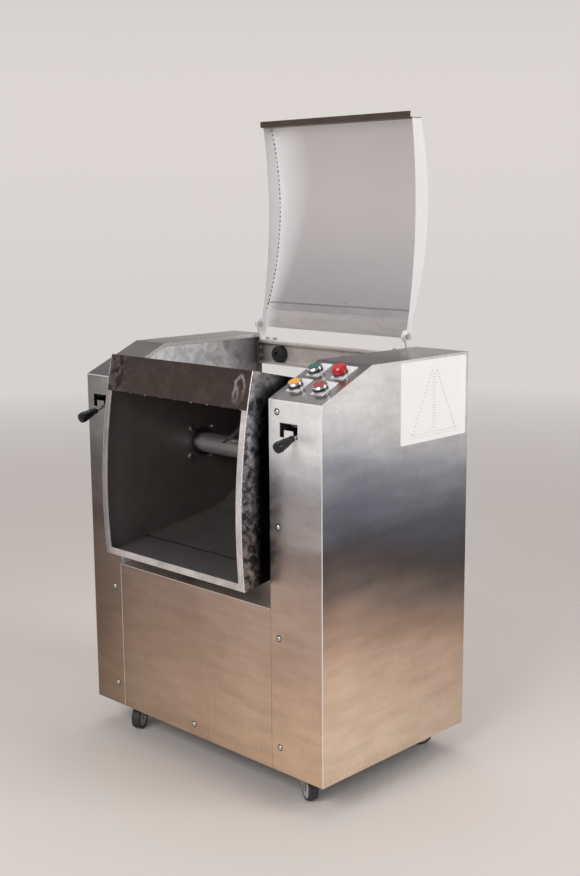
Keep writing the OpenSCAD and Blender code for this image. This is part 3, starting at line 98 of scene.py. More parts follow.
camera_data = bpy.data.cameras.new("camera")
camera_data.sensor_fit = "AUTO"
camera_data.sensor_width = SENSOR
camera_data.lens = LENS
camera_data.clip_end = FARTHEST
camera = bpy.data.objects.new("camera", camera_data)
bpy.context.scene.collection.objects.link(camera)
turn = Matrix.Rotation(CAMERA_YAW, 4, "Z") @ Matrix.Rotation(math.pi / 2 - CAMERA_PITCH, 4, "X")
camera.matrix_world = Matrix.Translation(CAMERA_PLACE) @ turn @ Matrix.Rotation(CAMERA_ROLL, 4, "Z")
bpy.context.scene.camera = camera
bpy.context.scene.view_settings.view_transform = "Standard"
print("camera stands", round(CAMERA_PLACE.length, 2), "m from the foot of the machine")

# %% [markdown]
# ## Node helpers
#
# A shader is a chain of small steps. These helpers place a node and join its sockets in one line,
# so that each finish below reads as a recipe.


# %% Helpers that place and join nodes
def place(tree, kind, **settings):
    """A new node. A setting is a socket's value, a link to it, or the node's own property."""
    node = tree.nodes.new(kind)
    for name, value in settings.items():
        socket = node.inputs.get(name.replace("_", " "))
        if socket is None:
            setattr(node, name, value)
        elif isinstance(value, bpy.types.NodeSocket):
            tree.links.new(value, socket)
        else:
            socket.default_value = value
    return node


def feed(tree, socket, value):
    """Gives a socket a link, a number or a colour."""
    if isinstance(value, bpy.types.NodeSocket):
        tree.links.new(value, socket)
    elif isinstance(value, (int, float)):
        socket.default_value = value
    else:
        socket.default_value = (*value, 1)


def ramp(tree, value, low, high, from_value=0.0, to_value=1.0):
    """Maps low..high to from_value..to_value."""
    node = place(tree, "ShaderNodeMapRange")
    for socket, number in zip(node.inputs, (value, low, high, from_value, to_value)):
        feed(tree, socket, number)
    return node.outputs[0]


def blend_colour(tree, share, first, second, how="MIX"):
    """A mix of two colours, each a link or a value, by a share that varies over the surface."""
    node = place(tree, "ShaderNodeMix", data_type="RGBA", blend_type=how)
    for index, value in ((0, share), (6, first), (7, second)):
        feed(tree, node.inputs[index], value)
    return node.outputs[2]


# %% Helpers that reckon with numbers and places
def maths(tree, operation, first, second=0.0):
    """One sum with two numbers, each a link or a value."""
    node = place(tree, "ShaderNodeMath", operation=operation)
    feed(tree, node.inputs[0], first)
    feed(tree, node.inputs[1], second)
    return node.outputs[0]


def times(tree, first, second):
    return maths(tree, "MULTIPLY", first, second)


def vector_maths(tree, operation, first, second):
    """One sum with two vectors, each a link or three numbers."""
    node = place(tree, "ShaderNodeVectorMath", operation=operation)
    for socket, value in zip(node.inputs, (first, second)):
        if isinstance(value, bpy.types.NodeSocket):
            tree.links.new(value, socket)
        else:
            socket.default_value = value
    return node.outputs["Vector"]


def length_of(tree, vector):
    node = place(tree, "ShaderNodeVectorMath", operation="LENGTH")
    tree.links.new(vector, node.inputs[0])
    return node.outputs["Value"]


def axis_of(tree, vector, axis):
    return place(tree, "ShaderNodeSeparateXYZ", Vector=vector).outputs[axis]


def noise(tree, vector, scale, detail, **more):
    """A soft cloud of numbers from 0 to 1, mostly near one half."""
    node = place(tree, "ShaderNodeTexNoise", Vector=vector, Scale=scale, Detail=detail, **more)
    return node.outputs[0]


def new_group(name, inputs, outputs, kind="ShaderNodeTree"):
    """A node group with named inputs and outputs; returns it with its two end nodes."""
    group = bpy.data.node_groups.new(name, kind)
    for label, socket_kind, value in inputs:
        socket = group.interface.new_socket(label, in_out="INPUT", socket_type=socket_kind)
        if value is not None:
            socket.default_value = value
    for label, socket_kind in outputs:
        group.interface.new_socket(label, in_out="OUTPUT", socket_type=socket_kind)
    return group, group.nodes.new("NodeGroupInput"), group.nodes.new("NodeGroupOutput")


# %% [markdown]
# ## Brushed grain
#
# A belt leaves thousands of fine parallel scratches in stainless sheet. A noise that is stretched
# far along one direction looks like them. The group gives a height for the bump and a tone that
# varies the roughness, so the grain shows in highlights and stays quiet elsewhere.


# %% Brushed grain group
def brushed_grain_group():
    group, start, end = new_group(
        "brushed grain",
        [("Vector", "NodeSocketVector", None), ("Stretch", "NodeSocketVector", (1, 1, 1)),
         ("Fineness", "NodeSocketFloat", 900.0)],
        [("Height", "NodeSocketFloat"), ("Tone", "NodeSocketFloat")])
    stretched = vector_maths(group, "MULTIPLY", start.outputs["Vector"], start.outputs["Stretch"])
    fineness = start.outputs["Fineness"]
    fine = noise(group, stretched, fineness, 3.0, Roughness=0.7)
    wide = noise(group, stretched, times(group, fineness, 0.12), 2.0)
    group.links.new(fine, end.inputs["Height"])
    group.links.new(times(group, maths(group, "ADD", fine, wide), 0.5), end.inputs["Tone"])
    return group


BRUSHED_GRAIN = brushed_grain_group()
print("nodes in the grain group:", len(BRUSHED_GRAIN.nodes))

# %% [markdown]
# ## Handling marks
#
# Hands, water and weld heat leave cloudy patches. A warped noise, pushed towards black and white,
# makes a mask of such patches. Every metal finish uses it with its own size.


# %% Handling marks group
def handling_marks_group():
    group, start, end = new_group(
        "handling marks",
        [("Vector", "NodeSocketVector", None), ("Size", "NodeSocketFloat", 6.0),
         ("Contrast", "NodeSocketFloat", 0.2)],
        [("Mask", "NodeSocketFloat")])
    cloud = noise(group, start.outputs["Vector"], start.outputs["Size"], 5.0, Roughness=0.62,
                  Distortion=0.6)
    low = maths(group, "SUBTRACT", 0.5, start.outputs["Contrast"])
    high = maths(group, "ADD", 0.5, start.outputs["Contrast"])
    group.links.new(ramp(group, cloud, low, high), end.inputs["Mask"])
    return group


HANDLING_MARKS = handling_marks_group()
print("nodes in the marks group:", len(HANDLING_MARKS.nodes))

# %% [markdown]
# ## Grinding arcs
#
# Where a plate was welded and then dressed with a disc grinder, the disc leaves bright arcs round
# the spot. The group draws an upright oval, keeps a band along it, and breaks it up with scratches.
# The lower half fades, because the hand lifts the disc there.

# %% Grinding arcs group
UPRIGHT_OVAL = (1.0, 0.4, 0.50)
ARC_WAVER = 0.0022
ARC_CORE, ARC_RIM = 0.0006, 0.0040
DISC_LIFTED, DISC_PRESSED = -0.016, 0.012


def grinding_arcs_group():
    group, start, end = new_group(
        "grinding arcs",
        [("Vector", "NodeSocketVector", None), ("Centre", "NodeSocketVector", (0, 0, 0)),
         ("Radius", "NodeSocketFloat", 0.012)],
        [("Mask", "NodeSocketFloat")])
    offset = vector_maths(group, "SUBTRACT", start.outputs["Vector"], start.outputs["Centre"])
    oval = vector_maths(group, "MULTIPLY", offset, UPRIGHT_OVAL)
    waver = noise(group, start.outputs["Vector"], 70.0, 3.0)
    wavy = maths(group, "ADD", length_of(group, oval),
                 ramp(group, waver, 0.3, 0.7, -ARC_WAVER, ARC_WAVER))
    off = maths(group, "ABSOLUTE", maths(group, "SUBTRACT", wavy, start.outputs["Radius"]))
    band = ramp(group, off, ARC_CORE, ARC_RIM, 0.85, 0.0)
    pressed = ramp(group, axis_of(group, offset, "Z"), DISC_LIFTED, DISC_PRESSED, 0.12, 1.0)
    broken = ramp(group, noise(group, oval, 520.0, 2.0), 0.36, 0.58, 0.35, 1.0)
    group.links.new(times(group, times(group, band, pressed), broken), end.inputs["Mask"])
    return group


GRINDING_ARCS = grinding_arcs_group()
print("nodes in the arcs group:", len(GRINDING_ARCS.nodes))

# %% [markdown]
# ## Finishes
#
# Each finish is one material. Its pattern reads Object coordinates, which are metres on the real
# machine, so a patch has the same size on every piece.


# %% Helpers for finishes
def new_finish(name):
    """A material with its shader, and the Object coordinates its pattern reads."""
    material = bpy.data.materials.new(name)
    material.use_nodes = True
    tree = material.node_tree
    return material, tree, tree.nodes["Principled BSDF"], place(tree, "ShaderNodeTexCoord")


def grouped(tree, group, **settings):
    """A node group placed in a material, with its own values."""
    return place(tree, "ShaderNodeGroup", node_tree=group, **settings)


def marks_mask(tree, vector, size, contrast):
    return grouped(tree, HANDLING_MARKS, Vector=vector, Size=size, Contrast=contrast).outputs[0]


SKIN_DEPTH = 0.0002


def bump(tree, shader, height, strength):
    node = place(tree, "ShaderNodeBump", Strength=strength, Distance=SKIN_DEPTH, Height=height)
    tree.links.new(node.outputs[0], shader.inputs["Normal"])


# %% [markdown]
# ## How a steel finish is built
#
# Steel is a mirror that was scratched. Its colour moves between a clean and a stained tone, its
# roughness follows the grain, and a bump lifts the scratches where they are coarse enough to see.
# Two functions may be handed in. A tint changes the tone by place, such as a darker band. A haze
# says where the sheet is so finely ground that it looks milky rather than mirror-like.

# %% Steel finish
STREAK_SHADE = 0.86
MILKY_METAL = 0.3


def steel_finish(name, clean, stained, rough, stretch, marks=6.0, contrast=0.22, grain=0.12,
                 rough_spread=0.08, fineness=900.0, metal=1.0, streak=0.15, tint=None, haze=None):
    """Brushed steel: a clean tone, a stained tone where hands and heat left marks, and a grain."""
    material, tree, shader, coordinates = new_finish(name)
    place_on = coordinates.outputs["Object"]
    streaks = grouped(tree, BRUSHED_GRAIN, Vector=place_on, Stretch=stretch, Fineness=fineness)
    cloud = marks_mask(tree, place_on, marks, contrast)
    tone = blend_colour(tree, cloud, clean, stained)
    share = ramp(tree, streaks.outputs["Tone"], 0.42, 0.6, streak, 0.0)
    tone = blend_colour(tree, share, tone, tuple(channel * STREAK_SHADE for channel in clean))
    if tint:
        tone = tint(tree, tone, coordinates)
    tree.links.new(tone, shader.inputs["Base Color"])
    shader.inputs["Metallic"].default_value = metal
    if haze:
        tree.links.new(ramp(tree, haze(tree, coordinates), 0.0, 1.0, metal, MILKY_METAL),
                       shader.inputs["Metallic"])
    roughness = ramp(tree, streaks.outputs["Tone"], 0.38, 0.62, rough - rough_spread / 2,
                     rough + rough_spread / 2)
    patches = times(tree, cloud, rough_spread * 0.6)
    tree.links.new(maths(tree, "ADD", roughness, patches), shader.inputs["Roughness"])
    if grain:
        bump(tree, shader, streaks.outputs["Height"], grain)
    return material


# %% [markdown]
# ## How a moulded finish is built
#
# Plastic, rubber and enamel have one colour all through. What makes them look real is a fine
# leathery skin, and a gloss that is a little uneven where they were touched.


# %% Moulded finish
def moulded_finish(name, colour, rough, speckle=1400.0, depth=0.15, coat=0.0, sheen_spots=0.12,
                   gloss=0.5):
    """Moulded plastic or rubber: a fine leathery skin and slightly uneven gloss."""
    material, tree, shader, coordinates = new_finish(name)
    place_on = coordinates.outputs["Object"]
    skin = noise(tree, place_on, speckle, 2.0)
    cloud = marks_mask(tree, place_on, 60.0, 0.25)
    lighter = tuple(min(1.0, channel * 1.25 + 0.004) for channel in colour)
    tree.links.new(blend_colour(tree, cloud, colour, lighter), shader.inputs["Base Color"])
    tree.links.new(ramp(tree, cloud, 0.0, 1.0, rough, rough + sheen_spots),
                   shader.inputs["Roughness"])
    shader.inputs["Coat Weight"].default_value = coat
    shader.inputs["Specular IOR Level"].default_value = gloss
    bump(tree, shader, skin, depth)
    return material


# %% [markdown]
# ## Tones that change by place
#
# A large polished sheet is never one even tone. A colour ramp along a line, such as a height in
# metres, holds a run of tones. The cubic kind of ramp was chosen, because a straight one shows a
# kink wherever two tones meet. A mask by the surface's direction tells a front from a side.

# %% Helpers for tones by place
BLACK, WHITE = (0.0, 0.0, 0.0), (1.0, 1.0, 1.0)


def where(tree, coordinates):
    """The X, Y and Z of each place on the machine, in metres."""
    return place(tree, "ShaderNodeSeparateXYZ", Vector=coordinates.outputs["Object"]).outputs


def stops(tree, share, tones):
    """A ramp of several tones, each given as a share from 0 to 1 with its colour."""
    node = place(tree, "ShaderNodeValToRGB")
    tree.links.new(share, node.inputs[0])
    bar = node.color_ramp
    bar.interpolation = "CARDINAL"
    for at, colour in tones[1:-1]:
        bar.elements.new(at)
    for element, (at, colour) in zip(bar.elements, tones):
        element.position = at
        element.color = (*colour, 1)
    return node.outputs[0]


def along_line(tree, value, tones):
    """A tone for each place on a line, such as a height in metres, blended from one to the next."""
    low, high = tones[0][0], tones[-1][0]
    return stops(tree, ramp(tree, value, low, high),
                 [((at - low) / (high - low), colour) for at, colour in tones])


def facing(tree, coordinates, axis, way=1.0):
    """1 where the surface faces that way along an axis, and 0 where it does not."""
    lean = times(tree, axis_of(tree, coordinates.outputs["Normal"], axis), way)
    return ramp(tree, lean, 0.55, 0.8)


def near_edge(tree, value, edge, start, full, most=1.0):
    """Rises from 0 to most between two distances from an edge."""
    return ramp(tree, value, edge + start, edge + full, 0.0, most)


# %% [markdown]
# ## Painted reflections of the casings
#
# The tall sheets are painted with a reflection of the room: bright at the top, a soft dark band
# half way down, and warm near the floor. Each entry is a height in metres with the painted tone of
# the sheet there. A third list gives the painted shade across the fronts, from the left tower to
# the right one.

# %% Painted reflections of the casings
# Painted reflection of the room on the sheets: bright top, dark band, warm foot.
WARM_FLOOR_REFLECTION, WARM_MIDDLE_REFLECTION, DARK_REFLECTED_BAND = (1.0, 0.80, 0.62), (0.70, 0.50, 0.38), (0.13, 0.13, 0.15)
COOL_REFLECTED_GREY, NARROW_SHADE, BRIGHT_TOP_REFLECTION = (0.50, 0.52, 0.58), (0.40, 0.33, 0.30), (1.0, 1.0, 1.0)
SIDE_PAINTED_REFLECTION = [
    (0.10, WARM_FLOOR_REFLECTION), (0.32, WARM_MIDDLE_REFLECTION), (0.40, (0.33, 0.25, 0.21)), (0.52, DARK_REFLECTED_BAND),
    (0.68, COOL_REFLECTED_GREY), (0.78, BRIGHT_TOP_REFLECTION),
]
FRONT_PAINTED_REFLECTION = [
    (0.10, (0.90, 0.66, 0.48)), (0.25, WARM_MIDDLE_REFLECTION), (0.44, (0.56, 0.43, 0.37)),
    (0.48, NARROW_SHADE), (0.52, (0.55, 0.49, 0.48)), (0.64, (0.60, 0.60, 0.63)),
    (0.70, BRIGHT_TOP_REFLECTION),
]
FRONT_PAINTED_SHADE_ACROSS = [
    (-0.34, (0.33, 0.32, 0.32)), (-0.205, (0.60, 0.60, 0.60)), (0.0, (0.78, 0.77, 0.77)),
    (0.16, (0.97, 0.97, 0.97)), (0.34, (1.0, 1.0, 1.0)),
]

# %% [markdown]
# ## Painted highlights on the folds
#
# A painted highlight stands for the light that a folded edge catches. The mask is 1 in a strip a
# millimetre or two wide along the fold between front and side, and along the fold at the foot of
# the slope.

# %% Painted highlights on the folds
SLOPE_FOLD = (-0.0018, -0.0011)
SIDE_FOLD = (-0.0016, -0.0009)
FRONT_FOLD = (0.0020, 0.0012)


# The mask of the painted highlight along the folds.
def painted_fold_highlight(tree, coordinates):
    across, depth, height = where(tree, coordinates)
    side = near_edge(tree, maths(tree, "ABSOLUTE", across), SIDE_X, *SIDE_FOLD)
    front = near_edge(tree, depth, FRONT_Y, *FRONT_FOLD)
    crest = near_edge(tree, height, SLOPE_FOOT_Z, *SLOPE_FOLD)
    upward = maths(tree, "MAXIMUM", front, facing(tree, coordinates, "Z"))
    return maths(tree, "MAXIMUM", times(tree, side, upward), times(tree, front, crest))


# %% [markdown]
# ## Tint of the casings
#
# The painted reflection lists are set on the sides and the fronts. The sheet is not quite flat, so
# a slow noise lets the bands drift up and down. The sides' bands sink towards the rear and are
# painted darker there, a painted shade. Faint level waves, scuffs, tops painted darker as painted
# shade, and the painted highlights on the folds come last.

# %% Casing tint
BAND_DRIFT = 0.018
LEVEL_PATCHES = (1.0, 1.0, 4.5)
SINK_DEPTHS, SINK = (-0.144, 0.216), 0.072
DIM_DEPTHS, DIM_HEIGHTS, REAR_LIGHT = (-0.12, 0.22), (0.50, 0.66), (0.80, 0.90)
LEFT_FOLD_X, LEFT_SHADE_Z, LEFT_SHADE = (-0.24, -0.27), (0.45, 0.62), (0.10, 0.10, 0.11)
SCUFF_HEIGHTS, SCUFF_SHARES, WAVE_SHARE = (0.40, 0.75), (0.02, 0.09), 0.13
TOP_PAINTED_SHADE, TOP_PAINTED_SHADE_SHARE, FOLD_HIGHLIGHT_SHARE = (0.25, 0.225, 0.215), 0.85, 0.9


def side_tone(tree, height, depth):
    """Painted reflection bands sink to the rear, where painted shade darkens the whole side."""
    sunk = maths(tree, "ADD", height, ramp(tree, depth, *SINK_DEPTHS, 0.0, SINK))
    rear_light = ramp(tree, height, *DIM_HEIGHTS, *REAR_LIGHT)
    deeper = ramp(tree, depth, *DIM_DEPTHS, 1.0, rear_light)
    return blend_colour(tree, deeper, BLACK, along_line(tree, sunk, SIDE_PAINTED_REFLECTION))


def front_tone(tree, height, across):
    """Painted reflection bands by height, with painted shade that dims them to the left and
    most of all beside the left tower's outer fold.
    """
    front = blend_colour(tree, 1.0, along_line(tree, height, FRONT_PAINTED_REFLECTION),
                         along_line(tree, across, FRONT_PAINTED_SHADE_ACROSS), "MULTIPLY")
    shaded = times(tree, ramp(tree, across, *LEFT_FOLD_X),
                   ramp(tree, height, *LEFT_SHADE_Z, 0.0, 0.10))
    return blend_colour(tree, shaded, front, LEFT_SHADE)


def casing_tint(tree, tone, coordinates):
    across, depth, up = where(tree, coordinates)
    level = vector_maths(tree, "MULTIPLY", coordinates.outputs["Object"], LEVEL_PATCHES)
    drift = ramp(tree, noise(tree, level, 4.0, 1.5), 0.3, 0.7, -BAND_DRIFT, BAND_DRIFT)
    height = maths(tree, "ADD", up, drift)
    banded = blend_colour(tree, facing(tree, coordinates, "Y", -1.0),
                          side_tone(tree, height, depth), front_tone(tree, height, across))
    banded = blend_colour(tree, 1.0, tone, banded, "MULTIPLY")
    waves = noise(tree, level, 11.0, 5.0, Roughness=0.6)
    banded = blend_colour(tree, ramp(tree, waves, 0.40, 0.66, 0.0, WAVE_SHARE), banded, BLACK)
    scuffs = times(tree, marks_mask(tree, coordinates.outputs["Object"], 34.0, 0.14),
                   ramp(tree, height, *SCUFF_HEIGHTS, *SCUFF_SHARES))
    banded = blend_colour(tree, scuffs, banded, BLACK)
    # Upward faces are painted darker, a painted shade.
    above = times(tree, facing(tree, coordinates, "Z"), TOP_PAINTED_SHADE_SHARE)
    banded = blend_colour(tree, above, banded, TOP_PAINTED_SHADE)
    # The folds are painted near white, a painted highlight.
    smudge_and_highlight = times(tree, painted_fold_highlight(tree, coordinates), FOLD_HIGHLIGHT_SHARE)
    return blend_colour(tree, smudge_and_highlight, banded, WHITE)


# %% [markdown]
# ## Haze of the casings
#
# The top of the right tower was ground so finely that it looks milky, most of all near its front
# fold. The haze takes some of the metal out of the shader there.

# %% Casing haze
MILKY_FRONT_Z, MILKY_SIDE_Z = (0.61, 0.69), (0.60, 0.77)
MILKY_DEPTHS, REAR_HAZE, LEFT_TO_RIGHT = (-0.18, 0.20), 0.45, (-0.2, 0.2)


def casing_haze(tree, coordinates):
    across, depth, height = where(tree, coordinates)
    front = times(tree, ramp(tree, height, *MILKY_FRONT_Z), facing(tree, coordinates, "Y", -1.0))
    cloud = marks_mask(tree, coordinates.outputs["Object"], 13.0, 0.16)
    reach = ramp(tree, depth, *MILKY_DEPTHS, 1.0, REAR_HAZE)
    side = times(tree, ramp(tree, height, *MILKY_SIDE_Z), reach)
    side = times(tree, side, ramp(tree, cloud, 0.0, 1.0, 0.7, 1.0))
    side = times(tree, side, facing(tree, coordinates, "X"))
    right = ramp(tree, across, *LEFT_TO_RIGHT)
    return times(tree, maths(tree, "MAXIMUM", front, side), right)


# %% [markdown]
# ## Tint of the front panel
#
# The front panel is the same sheet as the casings, set between the towers. Its left and top edges
# catch the light in a bright line, and its right edge lies in the shadow of the gap.

# %% Panel tint
panel_low, panel_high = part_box("front_panel")
LEFT_EDGE, TOP_EDGE, RIGHT_GAP = (0.0016, 0.0009), (-0.0016, -0.0009), (-0.0018, -0.0010)
EDGE_LIGHT, GAP_SHADE = (1.0, 0.97, 0.94), (0.12, 0.10, 0.09)


def panel_tint(tree, tone, coordinates):
    at = where(tree, coordinates)
    tone = casing_tint(tree, tone, coordinates)
    left = near_edge(tree, at["X"], panel_low.x, *LEFT_EDGE, 0.85)
    top = near_edge(tree, at["Z"], panel_high.z, *TOP_EDGE, 0.7)
    tone = blend_colour(tree, maths(tree, "MAXIMUM", left, top), tone, EDGE_LIGHT)
    right = near_edge(tree, at["X"], panel_high.x, *RIGHT_GAP, 0.45)
    return blend_colour(tree, right, tone, GAP_SHADE)


print("panel is", round(panel_high.x - panel_low.x, 4), "m wide")

# %% [markdown]
# ## Tint of the lid
#
# The lid is painted palest beside its left cheek, a painted light in a band that narrows downwards.
# A dark line marks the bend near its foot, the strip under the bend is smudged by fingers, and a
# few specks have stuck.

# %% Lid's painted light band and tint
LID_BEND = 0.912
LID_PAINTED_LIGHT, LID_LOWER, LID_CREASE = (1.0, 0.99, 1.0), (0.44, 0.40, 0.40), (0.16, 0.14, 0.14)
LID_SMUDGE, LID_SPECK = (0.36, 0.32, 0.31), (0.35, 0.30, 0.28)
FINGER_PATCHES = (0.45, 1.0, 2.2)
PALE_FROM_X, PALE_TO_X, PALE_HEIGHTS = -0.232, (-0.195, -0.130), (0.90, 1.18)
LOWER_HEIGHTS, CREASE_WIDTHS, SPECK_CUT = (0.93, 1.15), (0.0006, 0.0024), (0.765, 0.785)
STRIP_ABOVE, STRIP_BELOW = 0.012, -0.004


# Painted light: 1 in the pale band beside the left cheek, fading to 0 past it.
def lid_painted_light_band(tree, coordinates):
    at = where(tree, coordinates)
    reach = ramp(tree, at["Z"], *PALE_HEIGHTS, *PALE_TO_X)
    return ramp(tree, at["X"], PALE_FROM_X, reach, 1.0, 0.0)


def lid_tint(tree, tone, coordinates):
    place_on = coordinates.outputs["Object"]
    height = axis_of(tree, place_on, "Z")
    # The pale band beside the left cheek is painted light.
    tone = blend_colour(tree, lid_painted_light_band(tree, coordinates), tone, LID_PAINTED_LIGHT)
    tone = blend_colour(tree, ramp(tree, height, *LOWER_HEIGHTS, 0.16, 0.0), tone, LID_LOWER)
    bend = maths(tree, "ABSOLUTE", maths(tree, "SUBTRACT", height, LID_BEND))
    tone = blend_colour(tree, ramp(tree, bend, *CREASE_WIDTHS, 0.6, 0.0), tone, LID_CREASE)
    fingers = vector_maths(tree, "MULTIPLY", place_on, FINGER_PATCHES)
    smudge_and_highlight = ramp(tree, marks_mask(tree, fingers, 34.0, 0.08), 0.35, 1.0)
    strip = near_edge(tree, height, LID_BEND, STRIP_ABOVE, STRIP_BELOW, 0.20)
    tone = blend_colour(tree, times(tree, smudge_and_highlight, strip), tone, LID_SMUDGE)
    specks = ramp(tree, noise(tree, place_on, 95.0, 1.0), *SPECK_CUT, 0.0, 0.5)
    return blend_colour(tree, specks, tone, LID_SPECK)


# %% [markdown]
# ## Tints of the tub
#
# The tub's right side is mottled by weld heat and sinks into shadow towards the rear. The brow has
# a stained left end, and two arcs of the grinder on its right.

# %% Tub tints
HEAT_TONE, DEEP_TONE = (0.075, 0.078, 0.09), (0.012, 0.012, 0.014)
CLEAN_TOP_Z, SHADOW_HEIGHTS = (0.775, 0.80), (0.70, 0.80)
SHADOW_FROM_Y, SHADOW_TO_Y = -0.236, (-0.208, -0.14)
BROW_STAIN, BROW_BURN, ARC_TONE = (0.20, 0.17, 0.165), (0.028, 0.024, 0.024), (0.55, 0.52, 0.52)
BROW_LEFT_X = (-0.150, -0.190)
BROW_ARCS = {(0.159, -0.2350, 0.795): 0.0125, (0.151, -0.2365, 0.786): 0.006}


def tub_side_tint(tree, tone, coordinates):
    at = where(tree, coordinates)
    heated = marks_mask(tree, coordinates.outputs["Object"], 58.0, 0.09)
    mottled = blend_colour(tree, heated, tone, HEAT_TONE)
    mottled = blend_colour(tree, ramp(tree, at["Z"], *CLEAN_TOP_Z, 0.0, 0.6), mottled, tone)
    end = ramp(tree, at["Z"], *SHADOW_HEIGHTS, *SHADOW_TO_Y)
    deep = ramp(tree, at["Y"], SHADOW_FROM_Y, end, 0.0, 0.97)
    return blend_colour(tree, deep, mottled, DEEP_TONE)


def brow_tint(tree, tone, coordinates):
    place_on = coordinates.outputs["Object"]
    left = ramp(tree, axis_of(tree, place_on, "X"), *BROW_LEFT_X, 0.0, 0.9)
    tone = blend_colour(tree, times(tree, left, 0.5), tone, BROW_STAIN)
    burnt = times(tree, marks_mask(tree, place_on, 58.0, 0.06), left)
    tone = blend_colour(tree, burnt, tone, BROW_BURN)
    for centre, radius in BROW_ARCS.items():
        arcs = grouped(tree, GRINDING_ARCS, Vector=place_on, Centre=centre, Radius=radius)
        tone = blend_colour(tree, arcs.outputs[0], tone, ARC_TONE)
    return tone


# %% [markdown]
# ## Tints that only fade
#
# Some pieces need no more than a fade along an axis. Inside, the tub is painted paler near the
# mouth, a painted light. Its rim is painted darker on the left, a painted shade, and browner at the
# foot.
# The inner wall and the crossbar pass into shadow where the tower closes over them. One function
# makes all four tints from their numbers.


# %% Fading tints
def fades(*steps):
    """A tint with one fade or more: an axis, two places, the shares there, and the tone."""
    def tint(tree, tone, coordinates):
        at = where(tree, coordinates)
        for axis, places, shares, faded in steps:
            tone = blend_colour(tree, ramp(tree, at[axis], *places, *shares), tone, faded)
        return tone
    return tint


# Painted light: the inside of the tub is paler near the mouth.
tub_inner_tint = fades(("Y", (-0.25, -0.17), (0.5, 0.0), (0.34, 0.33, 0.34)))
# Painted shade: the rim is darker on the left.
rim_tint = fades(("X", (-0.222, -0.19), (0.72, 0.0), (0.17, 0.155, 0.155)),
                 ("Z", (0.425, 0.395), (0.0, 0.45), (0.40, 0.34, 0.31)))
wall_tint = fades(("Y", (0.02, 0.215), (0.0, 0.94), (0.03, 0.03, 0.03)))
crossbar_tint = fades(("X", (-0.20, -0.245), (0.0, 0.9), (0.05, 0.045, 0.04)))

# %% [markdown]
# ## Tint of the controls
#
# Each control has a bright foot, a dark band and a bright ring. The band lies between two heights
# above the panel. The panel slopes, so the height is reckoned square to the slope.

# %% Control tint
RING_BAND_FOOT, RING_BAND_TOP, RING_BAND_BLACK = (0.0052, 0.0058), (0.0098, 0.0090), (0.010, 0.010, 0.012)


def rise_on_panel(tree, coordinates):
    """Height above the sloping control panel."""
    at = where(tree, coordinates)
    back = times(tree, at["Y"], -math.sin(PANEL_SLOPE))
    up = times(tree, at["Z"], math.cos(PANEL_SLOPE))
    foot = FRONT_Y * -math.sin(PANEL_SLOPE) + SLOPE_FOOT_Z * math.cos(PANEL_SLOPE)
    return maths(tree, "SUBTRACT", maths(tree, "ADD", back, up), foot)


def control_tint(tree, tone, coordinates):
    rise = rise_on_panel(tree, coordinates)
    ring_band = times(tree, ramp(tree, rise, *RING_BAND_FOOT), ramp(tree, rise, *RING_BAND_TOP))
    return blend_colour(tree, times(tree, ring_band, 0.97), tone, RING_BAND_BLACK)


# %% [markdown]
# ## The finishes of this machine
#
# The casings are clean brushed sheet. The tub is the same steel, but it is stained by welding and
# it is painted dark inside, a painted shade. The frame is primed, the gearmotor enamelled, and the
# rest is rubber and moulded plastic.

